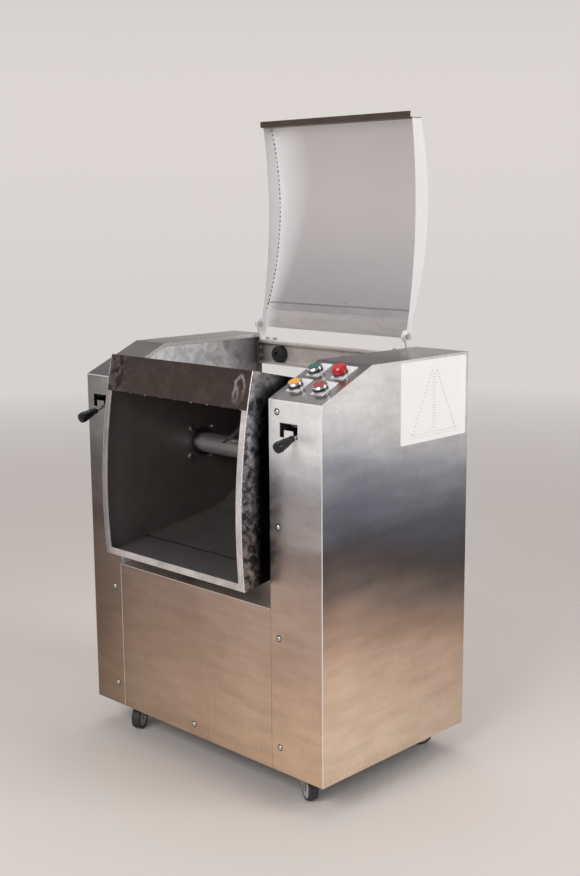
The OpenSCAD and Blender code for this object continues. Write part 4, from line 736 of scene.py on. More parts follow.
# %% The materials, one for each slot of the record
UPRIGHT_GRAIN = (1.0, 1.0, 0.02)
ACROSS_GRAIN = (0.02, 1.0, 1.0)
NO_GRAIN = (1.0, 1.0, 1.0)
CASING_SHEET = {"clean": (1.0, 1.0, 1.0), "stained": (0.88, 0.87, 0.87), "rough": 0.27,
                "stretch": UPRIGHT_GRAIN, "marks": 7.0, "contrast": 0.22, "grain": 0.0,
                "rough_spread": 0.006, "streak": 0.02}
BUTTON = {"rough": 0.25, "depth": 0.05, "coat": 0.4}
FINISHES = {
    "brushed_steel": steel_finish("casing_steel", tint=casing_tint, haze=casing_haze,
                                  **CASING_SHEET),
    "dull_steel": steel_finish("mill_steel", (0.50, 0.49, 0.49), (0.38, 0.37, 0.37), 0.40,
                               NO_GRAIN, marks=22.0, contrast=0.12, fineness=300.0),
    # The tub's dark tones inside are painted shade.
    "tub_steel": steel_finish("tub_steel", (0.22, 0.20, 0.20), (0.165, 0.15, 0.15), 0.36,
                              ACROSS_GRAIN, marks=9.0, contrast=0.16, grain=0.05, metal=0.6,
                              tint=tub_inner_tint),
    "zinc_plate": steel_finish("zinc_plate", (0.70, 0.70, 0.69), (0.5, 0.49, 0.46), 0.26,
                               NO_GRAIN, marks=80.0, fineness=1500.0),
    "cast_iron": steel_finish("cast_iron", (0.30, 0.31, 0.32), (0.2, 0.2, 0.2), 0.5,
                              NO_GRAIN, marks=40.0, grain=0.6, fineness=500.0),
    "chain_steel": steel_finish("chain_steel", (0.22, 0.21, 0.2), (0.12, 0.11, 0.1), 0.35,
                                NO_GRAIN, marks=120.0),
    "shaft_steel": steel_finish("shaft_steel", (0.98, 0.96, 0.97), (0.84, 0.82, 0.83), 0.20,
                                ACROSS_GRAIN, marks=20.0, grain=0.0, rough_spread=0.03,
                                metal=0.82, streak=0.05),
    "ring_chrome": steel_finish("bright_ring", (0.88, 0.88, 0.89), (0.78, 0.78, 0.79), 0.10,
                                NO_GRAIN, marks=90.0, grain=0.0, rough_spread=0.03,
                                tint=control_tint),
    "legend_aluminium": steel_finish("legend_plate", (0.90, 0.90, 0.91), (0.80, 0.80, 0.82), 0.42,
                                     ACROSS_GRAIN, marks=60.0, grain=0.1, metal=0.5),
    "bronze": steel_finish("bush_bronze", (0.62, 0.43, 0.22), (0.42, 0.29, 0.15), 0.34,
                           NO_GRAIN, marks=50.0),
    "frame_paint": moulded_finish("frame_primer", (0.045, 0.046, 0.05), 0.5, speckle=700.0),
    "motor_paint": moulded_finish("motor_enamel", (0.06, 0.12, 0.22), 0.35, speckle=400.0,
                                  coat=0.3),
    "rubber": moulded_finish("buffer_rubber", (0.018, 0.018, 0.018), 0.62, depth=0.3),
    "wheel_rubber": moulded_finish("tread_rubber", (0.025, 0.025, 0.026), 0.55, depth=0.3),
    "black_plastic": moulded_finish("black_plastic", (0.006, 0.006, 0.007), 0.20, gloss=0.3,
                                    sheen_spots=0.05),
    "lamp_red": moulded_finish("lamp_red", (0.48, 0.008, 0.014), 0.16, depth=0.03, coat=0.4),
    "start_green": moulded_finish("start_green", (0.008, 0.105, 0.075), **BUTTON),
    "jog_amber": moulded_finish("jog_amber", (0.85, 0.36, 0.03), **BUTTON),
    "stop_red": moulded_finish("stop_red", (0.34, 0.014, 0.028), **BUTTON),
}
print("slots:", len(FINISHES))

# %% [markdown]
# ## Finishes of the lid
#
# Some pieces share a slot of the record but not a look. The lid's sheet is clean and pale, its left
# cheek is painted paler still, a painted light, and the grip lip is nearly brown.

# %% Finishes of the lid
LID_SHEET = {"stretch": UPRIGHT_GRAIN, "contrast": 0.3, "grain": 0.05, "rough_spread": 0.04,
             "streak": 0.03}
LID_STEEL = steel_finish("lid_steel", (0.71, 0.69, 0.70), (0.65, 0.63, 0.64), 0.34, marks=4.0,
                         metal=0.75, tint=lid_tint, haze=lid_painted_light_band, **LID_SHEET)
CHEEK_STEEL = steel_finish("cheek_steel", (0.98, 0.97, 0.98), (0.93, 0.92, 0.92), 0.32,
                           marks=8.0, metal=0.45, **LID_SHEET)
# The left cheek's paler copy of the cheek steel is painted light.
LIT_CHEEK_STEEL = steel_finish("pale_cheek_steel", (1.0, 0.99, 1.0), (0.95, 0.94, 0.94), 0.40,
                                marks=8.0, metal=0.0, **LID_SHEET)
LIP_STEEL = steel_finish("lip_steel", (0.13, 0.10, 0.088), (0.09, 0.07, 0.062), 0.32, ACROSS_GRAIN,
                         marks=14.0)

# %% [markdown]
# ## Finishes of the tub
#
# The tub was welded, ground and used. Its rim shines, its brow is dark, its right side is mottled,
# and its paddles are painted dark, a painted shade inside the tub. The seals round the shaft's ends
# are darker than the sheet.

# %% Finishes of the tub
BROW_STEEL = steel_finish("brow_steel", (0.105, 0.082, 0.077), (0.070, 0.056, 0.052), 0.25,
                          ACROSS_GRAIN, marks=20.0, contrast=0.14, tint=brow_tint)
RIM_STEEL = steel_finish("rim_steel", (0.88, 0.85, 0.85), (0.40, 0.36, 0.35), 0.28, NO_GRAIN,
                         marks=18.0, contrast=0.22, grain=0.04, metal=0.75, tint=rim_tint)
WELDED_STEEL = steel_finish("welded_steel", (0.66, 0.66, 0.69), (0.34, 0.34, 0.36), 0.36,
                            NO_GRAIN, marks=90.0, contrast=0.10, tint=tub_side_tint)
# The paddles' dark tone is painted shade inside the tub.
SHADED_PADDLE_STEEL = steel_finish("paddle_steel", (0.24, 0.225, 0.225), (0.15, 0.14, 0.14), 0.28,
                            NO_GRAIN, marks=30.0, contrast=0.2, metal=0.8)
SEAL_STEEL = steel_finish("seal_steel", (0.20, 0.19, 0.19), (0.12, 0.115, 0.11), 0.28, NO_GRAIN,
                          marks=60.0)
BOLT_DARK = steel_finish("bolt_dark", (0.66, 0.64, 0.62), (0.34, 0.32, 0.31), 0.26, NO_GRAIN,
                         marks=120.0)

# %% [markdown]
# ## Finishes of the cabinet
#
# The front panel is casing sheet with edges of its own. The deck is painted warm, a painted
# reflection, and the crossbar is warmer too. The inner wall is coarsely ground, and the controls
# stand on bright collars.

# %% Finishes of the cabinet
WALL_GRAIN = (1.0, 1.0, 0.35)
PANEL_STEEL = steel_finish("panel_steel", tint=panel_tint, **CASING_SHEET)
# The deck's warm brown tone is a painted reflection.
DECK_STEEL = steel_finish("deck_steel", (0.62, 0.48, 0.40), (0.44, 0.34, 0.28), 0.30, ACROSS_GRAIN,
                          marks=16.0, contrast=0.2, metal=0.6)
CROSSBAR_STEEL = steel_finish("crossbar_steel", (0.86, 0.80, 0.76), (0.66, 0.60, 0.56), 0.30,
                              ACROSS_GRAIN, marks=18.0, contrast=0.2, metal=0.5,
                              tint=crossbar_tint)
WALL_STEEL = steel_finish("wall_steel", (1.0, 1.0, 1.0), (0.50, 0.50, 0.52), 0.42, WALL_GRAIN,
                          marks=26.0, contrast=0.11, fineness=300.0, metal=0.35, tint=wall_tint)
COLLAR_STEEL = steel_finish("collar_steel", (0.86, 0.86, 0.88), (0.72, 0.72, 0.74), 0.18, NO_GRAIN,
                            marks=90.0, grain=0.05, rough_spread=0.04, tint=control_tint)

# %% [markdown]
# ## Finishes of the small added pieces
#
# Welds are bright where a painted highlight lies on them, dull where they were left, and brown or
# black where they were burnt. The rest is grey moulded hubs, and the chart's film with its two
# inks.

# %% Finishes of the small added pieces
WELDS = {
    # The highlight weld is painted near white, a painted highlight.
    "bright_weld": ((0.90, 0.89, 0.89), (0.72, 0.70, 0.69), 0.22),
    "dull_weld": ((0.46, 0.42, 0.40), (0.24, 0.21, 0.20), 0.30),
    "tinted_weld": ((0.50, 0.37, 0.27), (0.22, 0.16, 0.12), 0.32),
    # The dark seam tone also makes the painted shadow discs under the screws.
    "dark_seam": ((0.06, 0.055, 0.055), (0.03, 0.03, 0.03), 0.4),
}
WELD_HIGHLIGHT, WELD_DULL, WELD_BROWN, DARK_SEAM_AND_SHADOW = (
    steel_finish(name, *looks, NO_GRAIN, marks=120.0) for name, looks in WELDS.items())
HUB_GREY = moulded_finish("hub_grey", (0.34, 0.34, 0.35), 0.4, depth=0.1)
CHART_FILM = moulded_finish("chart_film", (0.97, 0.97, 0.97), 0.35, speckle=260.0, depth=0.03)
CHART_INK = moulded_finish("chart_ink", (0.40, 0.41, 0.40), 0.5, depth=0.02)
CHART_PALE_INK = moulded_finish("chart_pale_ink", (0.66, 0.67, 0.66), 0.5, depth=0.02)

# %% [markdown]
# ## Dress the solids
#
# A piece named below takes its own finish. Every other piece takes the one of its slot.

# %% Give each solid its finish
OWN_FINISH = {
    "lid_sheet": LID_STEEL, "left_lid_cheek": LIT_CHEEK_STEEL, "right_lid_cheek": CHEEK_STEEL,
    "lid_lip": LIP_STEEL, "tub_brow": BROW_STEEL, "tub_rim": RIM_STEEL,
    "right_tub_side": WELDED_STEEL, "left_inner_wall": WALL_STEEL, "shaft_bushes": SEAL_STEEL,
    "front_panel": PANEL_STEEL, "base_deck": DECK_STEEL, "crossbar": CROSSBAR_STEEL,
    "hinge_brackets": CHEEK_STEEL, "paddles": SHADED_PADDLE_STEEL, "flange_bolts": BOLT_DARK,
    "button_collars": COLLAR_STEEL,
}
slot_of = {entry["node"]: entry["material_slot"] for entry in frame["record"]["subparts"]}


def finish_of(name):
    """A node's own finish, or else the one of its slot."""
    return OWN_FINISH.get(name, FINISHES[slot_of[name]])


for name, solid in nodes.items():
    solid.data.materials.clear()
    solid.data.materials.append(finish_of(name))
print("pieces dressed:", len(nodes), "with a finish of their own:", len(OWN_FINISH))

# %% [markdown]
# ## Softened edges
#
# Sheet metal is folded over a tool, so no edge is sharp. A bevel round each fold catches the light
# in a thin bright line. A copy of the solid gets the bevel, and stands in for the solid. Weighted
# normals keep the large faces flat, so that only the bevels look round.

# %% Helpers that settle a piece and soften a solid
ROUND_UP_TO = 30.0
FOLD_ANGLE = math.radians(28)
DOUBLE_POINTS, FLAT_ANGLE = 0.00001, math.radians(0.5)


def body_of(node_name):
    return nodes[node_name].parent.name.split(":", 1)[1]


def new_piece(name, mesh):
    piece = bpy.data.objects.new(name, mesh)
    bpy.context.scene.collection.objects.link(piece)
    return piece


def settle(piece, sharp=ROUND_UP_TO):
    """Turns what the modifiers make into the piece's own plain mesh, shaded smooth up to an angle.
    Without an angle it keeps the normals that a modifier has set."""
    graph = bpy.context.evaluated_depsgraph_get()
    piece.data = bpy.data.meshes.new_from_object(piece.evaluated_get(graph),
                                                 preserve_all_data_layers=True, depsgraph=graph)
    piece.modifiers.clear()
    piece.data.name = piece.name
    if sharp is not None:
        piece.data.shade_smooth()
        piece.data.set_sharp_from_angle(angle=math.radians(sharp))
    return piece


def softened(node_name, width):
    """A copy of a solid with its doubles merged and its edges bevelled, in the solid's place."""
    cage = bmesh.new()
    cage.from_mesh(nodes[node_name].data)
    bmesh.ops.remove_doubles(cage, verts=cage.verts, dist=DOUBLE_POINTS)
    bmesh.ops.dissolve_limit(cage, angle_limit=FLAT_ANGLE, verts=cage.verts, edges=cage.edges)
    mesh = bpy.data.meshes.new(node_name + "_finished")
    cage.to_mesh(mesh)
    cage.free()
    mesh.materials.append(finish_of(node_name))
    mesh.shade_smooth()
    piece = new_piece(node_name + "_finished", mesh)
    bevel = piece.modifiers.new("fold", "BEVEL")
    bevel.width = width
    bevel.segments = 2
    bevel.limit_method = "ANGLE"
    bevel.angle_limit = FOLD_ANGLE
    piece.modifiers.new("flat faces", "WEIGHTED_NORMAL")
    settle(piece, None)
    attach(piece, body_of(node_name))
    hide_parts(node_name)


# %% [markdown]
# ## Casings, panels and the tub with softened edges
#
# The width is about the radius that each edge has on the real piece: half a millimetre on folded
# sheet, a millimetre and more on paddles and castings, and less on thin strips and bolts, where a
# wide bevel would eat the strip.

# %% Soften the sheets
SOFT_EDGES = {
    "left_tower_casing": 0.0006, "right_tower_casing": 0.0006, "front_panel": 0.0005,
    "rear_panel": 0.0005, "tower_rear_covers": 0.0005, "crossbar": 0.0006, "tub_rim": 0.0008,
    "tub_brow": 0.0008, "left_tub_side": 0.0005, "right_tub_side": 0.0005, "lid_lip": 0.0005,
    "hinge_brackets": 0.0006, "paddles": 0.0012, "legend_plates": 0.0003, "base_deck": 0.0005,
    "gearbox": 0.002, "terminal_box": 0.0015, "caster_plates": 0.0004, "trunnions": 0.0006,
    "crossbar_bolts": 0.0003, "flange_bolts": 0.0004,
}
for name, width in SOFT_EDGES.items():
    softened(name, width)
print("softened:", len(SOFT_EDGES))

# %% [markdown]
# ## Smooth shading for turned and rolled pieces
#
# Round solids arrive as many flat facets. Shading them smooth, and sharp only past a set angle,
# makes them look turned. Only the shading changes, so the solids stay as they are.

# %% Smooth the round solids
for name, solid in nodes.items():
    if name not in SOFT_EDGES:
        solid.data.shade_smooth()
        solid.data.set_sharp_from_angle(angle=math.radians(ROUND_UP_TO))
print("smoothed:", len(nodes) - len(SOFT_EDGES))

# %% [markdown]
# ## Geometry Nodes for what repeats
#
# Screws, weld beads, tacks and ribs are one small shape set down many times. A Geometry Nodes tree
# sets the shape on each point of a mesh, so a size is changed in one place. The tree's result is
# then made a plain mesh.


# %% Helpers for Geometry Nodes
def new_tree(name, inputs):
    sockets = [("Geometry", "NodeSocketGeometry", None)] + inputs
    sockets.append(("Material", "NodeSocketMaterial", None))
    return new_group(name, sockets, [("Geometry", "NodeSocketGeometry")], "GeometryNodeTree")


def scaled(tree, x, y, z):
    """Three numbers, each a link or a value, as one vector."""
    node = place(tree, "ShaderNodeCombineXYZ")
    for socket, value in zip(node.inputs, (x, y, z)):
        feed(tree, socket, value)
    return node.outputs[0]


def turned_out(tree, start):
    """The tree's Turn, three angles, as a rotation."""
    return place(tree, "FunctionNodeEulerToRotation", Euler=start.outputs["Turn"]).outputs[0]


def set_down(tree, start, end, points, shape, **placing):
    """Sets a shape on each point, makes the copies real and gives them the material."""
    copies = place(tree, "GeometryNodeInstanceOnPoints", Points=points, Instance=shape, **placing)
    real = place(tree, "GeometryNodeRealizeInstances", Geometry=copies.outputs[0])
    dressed = place(tree, "GeometryNodeSetMaterial", Geometry=real.outputs[0],
                    Material=start.outputs["Material"])
    tree.links.new(dressed.outputs[0], end.inputs[0])
    return tree


# %% [markdown]
# ## From a tree to a piece
#
# A tree starts from a mesh of bare points, or of open paths. Its inputs are set by the sockets'
# identifiers, the result becomes a plain mesh, and the piece then rides on its body.


# %% Helpers that grow a piece
def points_mesh(name, points, joined=False):
    """A mesh of bare points, or of one or more open paths when the points are lists of points."""
    mesh = bpy.data.meshes.new(name)
    paths = points if joined else [[point] for point in points]
    corners, edges = [], []
    for path in paths:
        edges += [(len(corners) + i, len(corners) + i + 1) for i in range(len(path) - 1)]
        corners += path
    mesh.from_pydata(corners, edges, [])
    return mesh


def grown(name, tree, source, body, slot, sharp=ROUND_UP_TO, **inputs):
    """A piece grown by a tree from a mesh of points or paths."""
    piece = new_piece(name, source)
    grower = piece.modifiers.new("grower", "NODES")
    grower.node_group = tree
    for item in tree.interface.items_tree:
        label = item.name.replace(" ", "_").lower()
        if item.in_out == "INPUT" and label in inputs:
            grower[item.identifier] = inputs[label]
    settle(piece, sharp)
    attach(piece, body)
    print(name, "faces:", len(piece.data.polygons))
    return piece


# %% [markdown]
# ## Domed screws
#
# The casings are held by small domed screws with a hexagon socket. The dome is a flattened sphere,
# and a six-sided cutter sinks the socket into it. The tree turns the screw to face outwards.


# %% Domed screw tree
def domed_screw_tree():
    tree, start, end = new_tree("domed screws", [
        ("Head Radius", "NodeSocketFloat", 0.0054), ("Head Height", "NodeSocketFloat", 0.0028),
        ("Socket Radius", "NodeSocketFloat", 0.0021), ("Turn", "NodeSocketVector", (0, 0, 0))])
    head, height = start.outputs["Head Radius"], start.outputs["Head Height"]
    sphere = place(tree, "GeometryNodeMeshUVSphere", Segments=20, Rings=10, Radius=head)
    flat = place(tree, "GeometryNodeTransform", Geometry=sphere.outputs[0],
                 Scale=scaled(tree, 1.0, 1.0, maths(tree, "DIVIDE", height, head)))
    cutter = place(tree, "GeometryNodeMeshCylinder", Vertices=6,
                   Radius=start.outputs["Socket Radius"], Depth=height)
    sunk = place(tree, "GeometryNodeTransform", Geometry=cutter.outputs[0],
                 Translation=scaled(tree, 0.0, 0.0, times(tree, height, 0.9)))
    socketed = place(tree, "GeometryNodeMeshBoolean", operation="DIFFERENCE")
    tree.links.new(flat.outputs[0], socketed.inputs[0])
    tree.links.new(sunk.outputs[0], socketed.inputs[1])
    return set_down(tree, start, end, start.outputs["Geometry"], socketed.outputs[0],
                    Rotation=turned_out(tree, start))


DOMED_SCREWS = domed_screw_tree()

# %% [markdown]
# ## Screw rows
#
# Four screws stand in a column on each tower's front, and one sits low on the front panel. The
# screws at the rear are smaller. A thin dark disc under each front screw is a painted shadow round
# its head.

# %% Screws and their painted shadow discs
FACE_FRONT, FACE_REAR = (math.radians(90), 0.0, 0.0), (math.radians(-90), 0.0, 0.0)
TOWER_SCREW_X, TOWER_SCREW_Z = (-0.267, 0.229), (0.10824, 0.3264, 0.5424, 0.7584)
PANEL_SCREW = (-0.019, FRONT_Y, 0.08324)
COVER_SCREW_X, COVER_SCREW_Z = (-0.326, -0.258, 0.220, 0.326), (0.09, 0.3, 0.52, 0.74, 0.82)
REAR_PANEL_SCREW_X, REAR_PANEL_SCREW_Z = (-0.2, -0.019, 0.16), (0.075, 0.368)


def screw_rows(across, depth, heights):
    return [(x, depth, z) for x in across for z in heights]


# Each disc is a painted shadow round a screw head.
def shadow_disc_tree():
    tree, start, end = new_tree("screw seats", [
        ("Seat Radius", "NodeSocketFloat", 0.0066), ("Seat Height", "NodeSocketFloat", 0.0006),
        ("Turn", "NodeSocketVector", (0, 0, 0))])
    disc = place(tree, "GeometryNodeMeshCylinder", Vertices=24, Radius=start.outputs["Seat Radius"],
                 Depth=start.outputs["Seat Height"])
    return set_down(tree, start, end, start.outputs["Geometry"], disc.outputs[0],
                    Rotation=turned_out(tree, start))


front_places = screw_rows(TOWER_SCREW_X, FRONT_Y, TOWER_SCREW_Z) + [PANEL_SCREW]
screw_heads = grown("screw_heads", DOMED_SCREWS, points_mesh("front_screws", front_places),
                    "cabinet", "zinc_plate", turn=FACE_FRONT, material=FINISHES["zinc_plate"])
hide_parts("panel_screws")
grown("screw_seats", shadow_disc_tree(), points_mesh("front_seats", front_places), "cabinet", "zinc_plate",
      turn=FACE_FRONT, material=DARK_SEAM_AND_SHADOW)
rear_places = screw_rows(COVER_SCREW_X, REAR_Y, COVER_SCREW_Z)
rear_places += screw_rows(REAR_PANEL_SCREW_X, REAR_Y, REAR_PANEL_SCREW_Z)
grown("rear_screw_heads", DOMED_SCREWS, points_mesh("rear_screws", rear_places), "cabinet",
      "zinc_plate", turn=FACE_REAR, material=FINISHES["zinc_plate"], head_radius=0.0042)

# %% [markdown]
# ## Weld beads and tacks
#
# A weld is a row of overlapping drops. The tree walks along a path at a set pitch and sets down a
# small drop, turned along the path and a little larger or smaller each time. A long pitch leaves
# separate tacks, a short one a closed bead.


# %% Weld tree
def weld_tree():
    tree, start, end = new_tree("weld drops", [
        ("Pitch", "NodeSocketFloat", 0.002), ("Drop Length", "NodeSocketFloat", 0.002),
        ("Drop Width", "NodeSocketFloat", 0.001), ("Unevenness", "NodeSocketFloat", 0.15),
        ("Seed", "NodeSocketInt", 3)])
    path = place(tree, "GeometryNodeMeshToCurve", Mesh=start.outputs["Geometry"])
    paced = place(tree, "GeometryNodeResampleCurve", mode="LENGTH", Curve=path.outputs[0],
                  Length=start.outputs["Pitch"])
    steps = place(tree, "GeometryNodeCurveToPoints", mode="EVALUATED", Curve=paced.outputs[0])
    along = place(tree, "FunctionNodeAlignRotationToVector", axis="X",
                  Vector=steps.outputs["Tangent"])
    drop = place(tree, "GeometryNodeMeshUVSphere", Segments=8, Rings=5, Radius=1.0)
    width = start.outputs["Drop Width"]
    shaped = place(tree, "GeometryNodeTransform", Geometry=drop.outputs[0],
                   Scale=scaled(tree, start.outputs["Drop Length"], width, width))
    uneven = place(tree, "FunctionNodeRandomValue", data_type="FLOAT", Seed=start.outputs["Seed"])
    low = maths(tree, "SUBTRACT", 1.0, start.outputs["Unevenness"])
    high = maths(tree, "ADD", 1.0, start.outputs["Unevenness"])
    tree.links.new(low, uneven.inputs[2])
    tree.links.new(high, uneven.inputs[3])
    return set_down(tree, start, end, steps.outputs["Points"], shaped.outputs[0],
                    Rotation=along.outputs[0], Scale=uneven.outputs[1])


WELD_DROPS = weld_tree()


def weld(name, paths, material, body="tub", slot="tub_steel", **sizes):
    grown(name, WELD_DROPS, points_mesh(name + "_path", paths, True), body, slot, sharp=60,
          material=material, **sizes)


# %% [markdown]
# ## The lines that the welds follow
#
# The tub was drawn upright, with its axis as the origin, and is tipped forward at rest. Its mouth
# is bowed to one large radius, and the lid's hollow side to another. These functions give points on
# those lines, so that each bead lies on its edge.

# %% Lines of the tub and the lid
AXIS_Y, AXIS_Z = 0.013434, 0.618
TIP = math.radians(86)
TUB_LEFT, TUB_RIGHT = -0.226, 0.188
MOUTH_FRONT, MOUTH_REAR = -0.218, 0.197
BOW_RADIUS, BOW_Y, BOW_Z = 1.20501, -0.0105, -0.93401
HINGE_Y, HINGE_Z = 0.205434, 0.862
LID_ARC, LID_ARC_ALONG, LID_ARC_BACK = 0.5885, 0.26377, -0.521


def tipped(y, z):
    """Where a point of the upright tub stands once the tub is tipped forward."""
    return (AXIS_Y + y * math.cos(TIP) - z * math.sin(TIP),
            AXIS_Z + y * math.sin(TIP) + z * math.cos(TIP))


def mouth_height(y):
    """Height of the bowed mouth above the axis, at a reach from the axis."""
    return BOW_Z + math.sqrt(BOW_RADIUS ** 2 - (y - BOW_Y) ** 2)


def lid_skin(along):
    """A point of the lid's hollow side, at a distance along the open lid from its pivots."""
    back = LID_ARC_BACK + math.sqrt(LID_ARC ** 2 - (along - LID_ARC_ALONG) ** 2)
    return HINGE_Y + back, HINGE_Z + along


def spread(low, high, count):
    return [low + (high - low) * i / (count - 1) for i in range(count)]


print("mouth top at", [round(v, 4) for v in tipped(MOUTH_REAR, mouth_height(MOUTH_REAR))])

# %% [markdown]
# ## Welds along the tub's mouth
#
# The mouth's outer edges were welded. The right bead is painted bright as one line, a painted
# highlight, and the left one is dull. Each follows the bow from end to end.

# %% Mouth welds
END_GAP, EDGE_INSET, BEAD_SINK = 0.002, 0.0004, 0.0006
reaches = spread(MOUTH_FRONT + END_GAP, MOUTH_REAR - END_GAP, 60)
# The right bead's bright tone is a painted highlight.
for side, x, finish in (("left", TUB_LEFT + EDGE_INSET, WELD_DULL),
                        ("right", TUB_RIGHT - EDGE_INSET, WELD_HIGHLIGHT)):
    bow = [(x, *tipped(y, mouth_height(y) - BEAD_SINK)) for y in reaches]
    weld(side + "_mouth_weld", [bow], finish, pitch=0.0022, drop_length=0.0026, drop_width=0.0013,
         unevenness=0.12)

# %% [markdown]
# ## Seams inside the tub
#
# Inside, the side plates meet the wrapped sheet in a thin seam that the heat turned brown. It runs
# down the front wall, round the belly and up the rear wall. A flat dark line of drops crosses the
# front wall, and the brow is tacked along its lower edge.

# %% Seams and tacks of the tub
FRONT_LEAN, REAR_LEAN, BELLY_RADIUS = math.radians(12.514), math.radians(8.385), 0.156
FRONT_TOP, REAR_TOP = (-0.2148, 0.246), (0.1935, 0.246)
CROSS_LINE_AT, BROW_REACH = (-0.1937, 0.1526), 0.124

turns = spread(math.pi + FRONT_LEAN, 2 * math.pi - REAR_LEAN, 60)
belly = [(BELLY_RADIUS * math.cos(a), BELLY_RADIUS * math.sin(a)) for a in turns]
wall_line = [FRONT_TOP, *belly, REAR_TOP]
corner_seams = [[(x, *tipped(y, z)) for y, z in wall_line]
                for x in (TUB_LEFT + 0.002, TUB_RIGHT - 0.002)]
weld("tub_corner_seams", corner_seams, WELD_BROWN, pitch=0.0026, drop_length=0.0024,
     drop_width=0.0011)

# A flat dark line of drops across the front wall.
cross_y, cross_z = tipped(*CROSS_LINE_AT)
cross_line = [(x, cross_y, cross_z + 0.0006) for x in (TUB_LEFT + 0.003, TUB_RIGHT - 0.003)]
weld("tub_cross_seam", [cross_line], DARK_SEAM_AND_SHADOW, pitch=0.0025, drop_length=0.0022,
     drop_width=0.0020)

brow_low = tipped(BROW_REACH, mouth_height(BROW_REACH) + 0.0002)
brow_line = [(x, *brow_low) for x in (TUB_LEFT + 0.03, TUB_RIGHT - 0.018)]
weld("brow_tacks", [brow_line], WELD_DULL, pitch=0.043, drop_length=0.0026, drop_width=0.0009,
     unevenness=0.5, seed=8)

# %% [markdown]
# ## Tacks of the lid
#
# The lid's left cheek is only tacked, a tack every ten millimetres along the hollow side.

# %% Lid tacks
CHEEK_X, SEAM_SINK = -0.2308, 0.0004
skin = [lid_skin(along) for along in spread(0.036, 0.432, 80)]
weld("lid_seam_tacks", [[(CHEEK_X, y - SEAM_SINK, z) for y, z in skin]], DARK_SEAM_AND_SHADOW, body="lid",
     slot="brushed_steel", pitch=0.010, drop_length=0.0026, drop_width=0.0013, unevenness=0.2,
     seed=5)

# %% [markdown]
# ## Ribs of the control collars
#
# The collar under each ring has fine upright ribs for the fingers that screw it down. One ring of
# ribs is made from a circle of points, and the ring is set on the four controls.


# %% Ribbed collars
def ribbed_collar_tree():
    tree, start, end = new_tree("ribbed collars", [
        ("Ribs", "NodeSocketInt", 40), ("Ring Radius", "NodeSocketFloat", 0.014),
        ("Rib Radius", "NodeSocketFloat", 0.0005), ("Rib Height", "NodeSocketFloat", 0.005),
        ("Turn", "NodeSocketVector", (0, 0, 0))])
    circle = place(tree, "GeometryNodeMeshCircle", Vertices=start.outputs["Ribs"],
                   Radius=start.outputs["Ring Radius"])
    rib = place(tree, "GeometryNodeMeshCylinder", Vertices=6, Radius=start.outputs["Rib Radius"],
                Depth=start.outputs["Rib Height"])
    ring = place(tree, "GeometryNodeInstanceOnPoints", Points=circle.outputs[0],
                 Instance=rib.outputs[0])
    return set_down(tree, start, end, start.outputs["Geometry"], ring.outputs[0],
                    Rotation=turned_out(tree, start))


def on_slope(x, run, rise):
    """A point on the control panel: across, up the slope, and out of it."""
    return (x, FRONT_Y + run * math.cos(PANEL_SLOPE) - rise * math.sin(PANEL_SLOPE),
            SLOPE_FOOT_Z + run * math.sin(PANEL_SLOPE) + rise * math.cos(PANEL_SLOPE))


CONTROL_X, CONTROL_RUN, COLLAR_RISE = (0.239, 0.301), (0.046, 0.104), 0.0042
collar_places = [on_slope(x, run, COLLAR_RISE) for x in CONTROL_X for run in CONTROL_RUN]
grown("collar_ribs", ribbed_collar_tree(), points_mesh("collars", collar_places), "cabinet",
      "black_plastic", turn=(PANEL_SLOPE, 0.0, 0.0), material=COLLAR_STEEL)

# %% [markdown]
# ## Chart on the right side
#
# A white film with thin rules and two dashed slanting lines is stuck on the right side. The film
# is a thin plate with rounded corners, made point by point, and the rules and dashes stand on it.

# %% Chart film
CHART_LOW, CHART_HIGH, CHART_CORNER = (0.0135, 0.677), (0.2165, 0.835), 0.003
FILM_IN, FILM_OUT = SIDE_X - 0.0002, SIDE_X + 0.0003
CORNER_STEPS = 5


def rounded_outline(low, high, corner):
    """A rectangle in Y and Z with rounded corners, as one closed line."""
    front, rear = low[0] + corner, high[0] - corner
    foot, top = low[1] + corner, high[1] - corner
    outline = []
    for y, z, first in ((rear, top, 0), (front, top, 90), (front, foot, 180), (rear, foot, 270)):
        for step in range(CORNER_STEPS):
            angle = math.radians(first + step * 90 / (CORNER_STEPS - 1))
            outline.append((y + corner * math.cos(angle), z + corner * math.sin(angle)))
    return outline


outline = rounded_outline(CHART_LOW, CHART_HIGH, CHART_CORNER)
count = len(outline)
film_points = [(x, y, z) for x in (FILM_IN, FILM_OUT) for y, z in outline]
film_faces = [tuple(range(count - 1, -1, -1)), tuple(range(count, 2 * count))]
film_faces += [(i, (i + 1) % count, count + (i + 1) % count, count + i) for i in range(count)]
film_mesh = bpy.data.meshes.new("side_chart")
film_mesh.from_pydata(film_points, [], film_faces)
film_mesh.materials.append(CHART_FILM)
chart = new_piece("side_chart", film_mesh)
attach(chart, "cabinet")
print("chart corners:", count)


# %% Chart rules
def ruled_lines_tree():
    tree, start, end = new_tree("ruled lines", [
        ("Rule Length", "NodeSocketFloat", 0.05), ("Rule Width", "NodeSocketFloat", 0.0006)])
    size = scaled(tree, 0.0003, start.outputs["Rule Length"], start.outputs["Rule Width"])
    rule = place(tree, "GeometryNodeMeshCube", Size=size)
    return set_down(tree, start, end, start.outputs["Geometry"], rule.outputs[0])


RULED_LINES = ruled_lines_tree()
MIDDLE_Y = (CHART_LOW[0] + CHART_HIGH[0]) / 2
SHORT_RULES_Z, LONG_RULES_Z = spread(0.702, 0.806, 20), (0.6875, 0.6935)
SLANT_TOP, SLANT_FOOT = (0.008, 0.812), (0.066, 0.696)

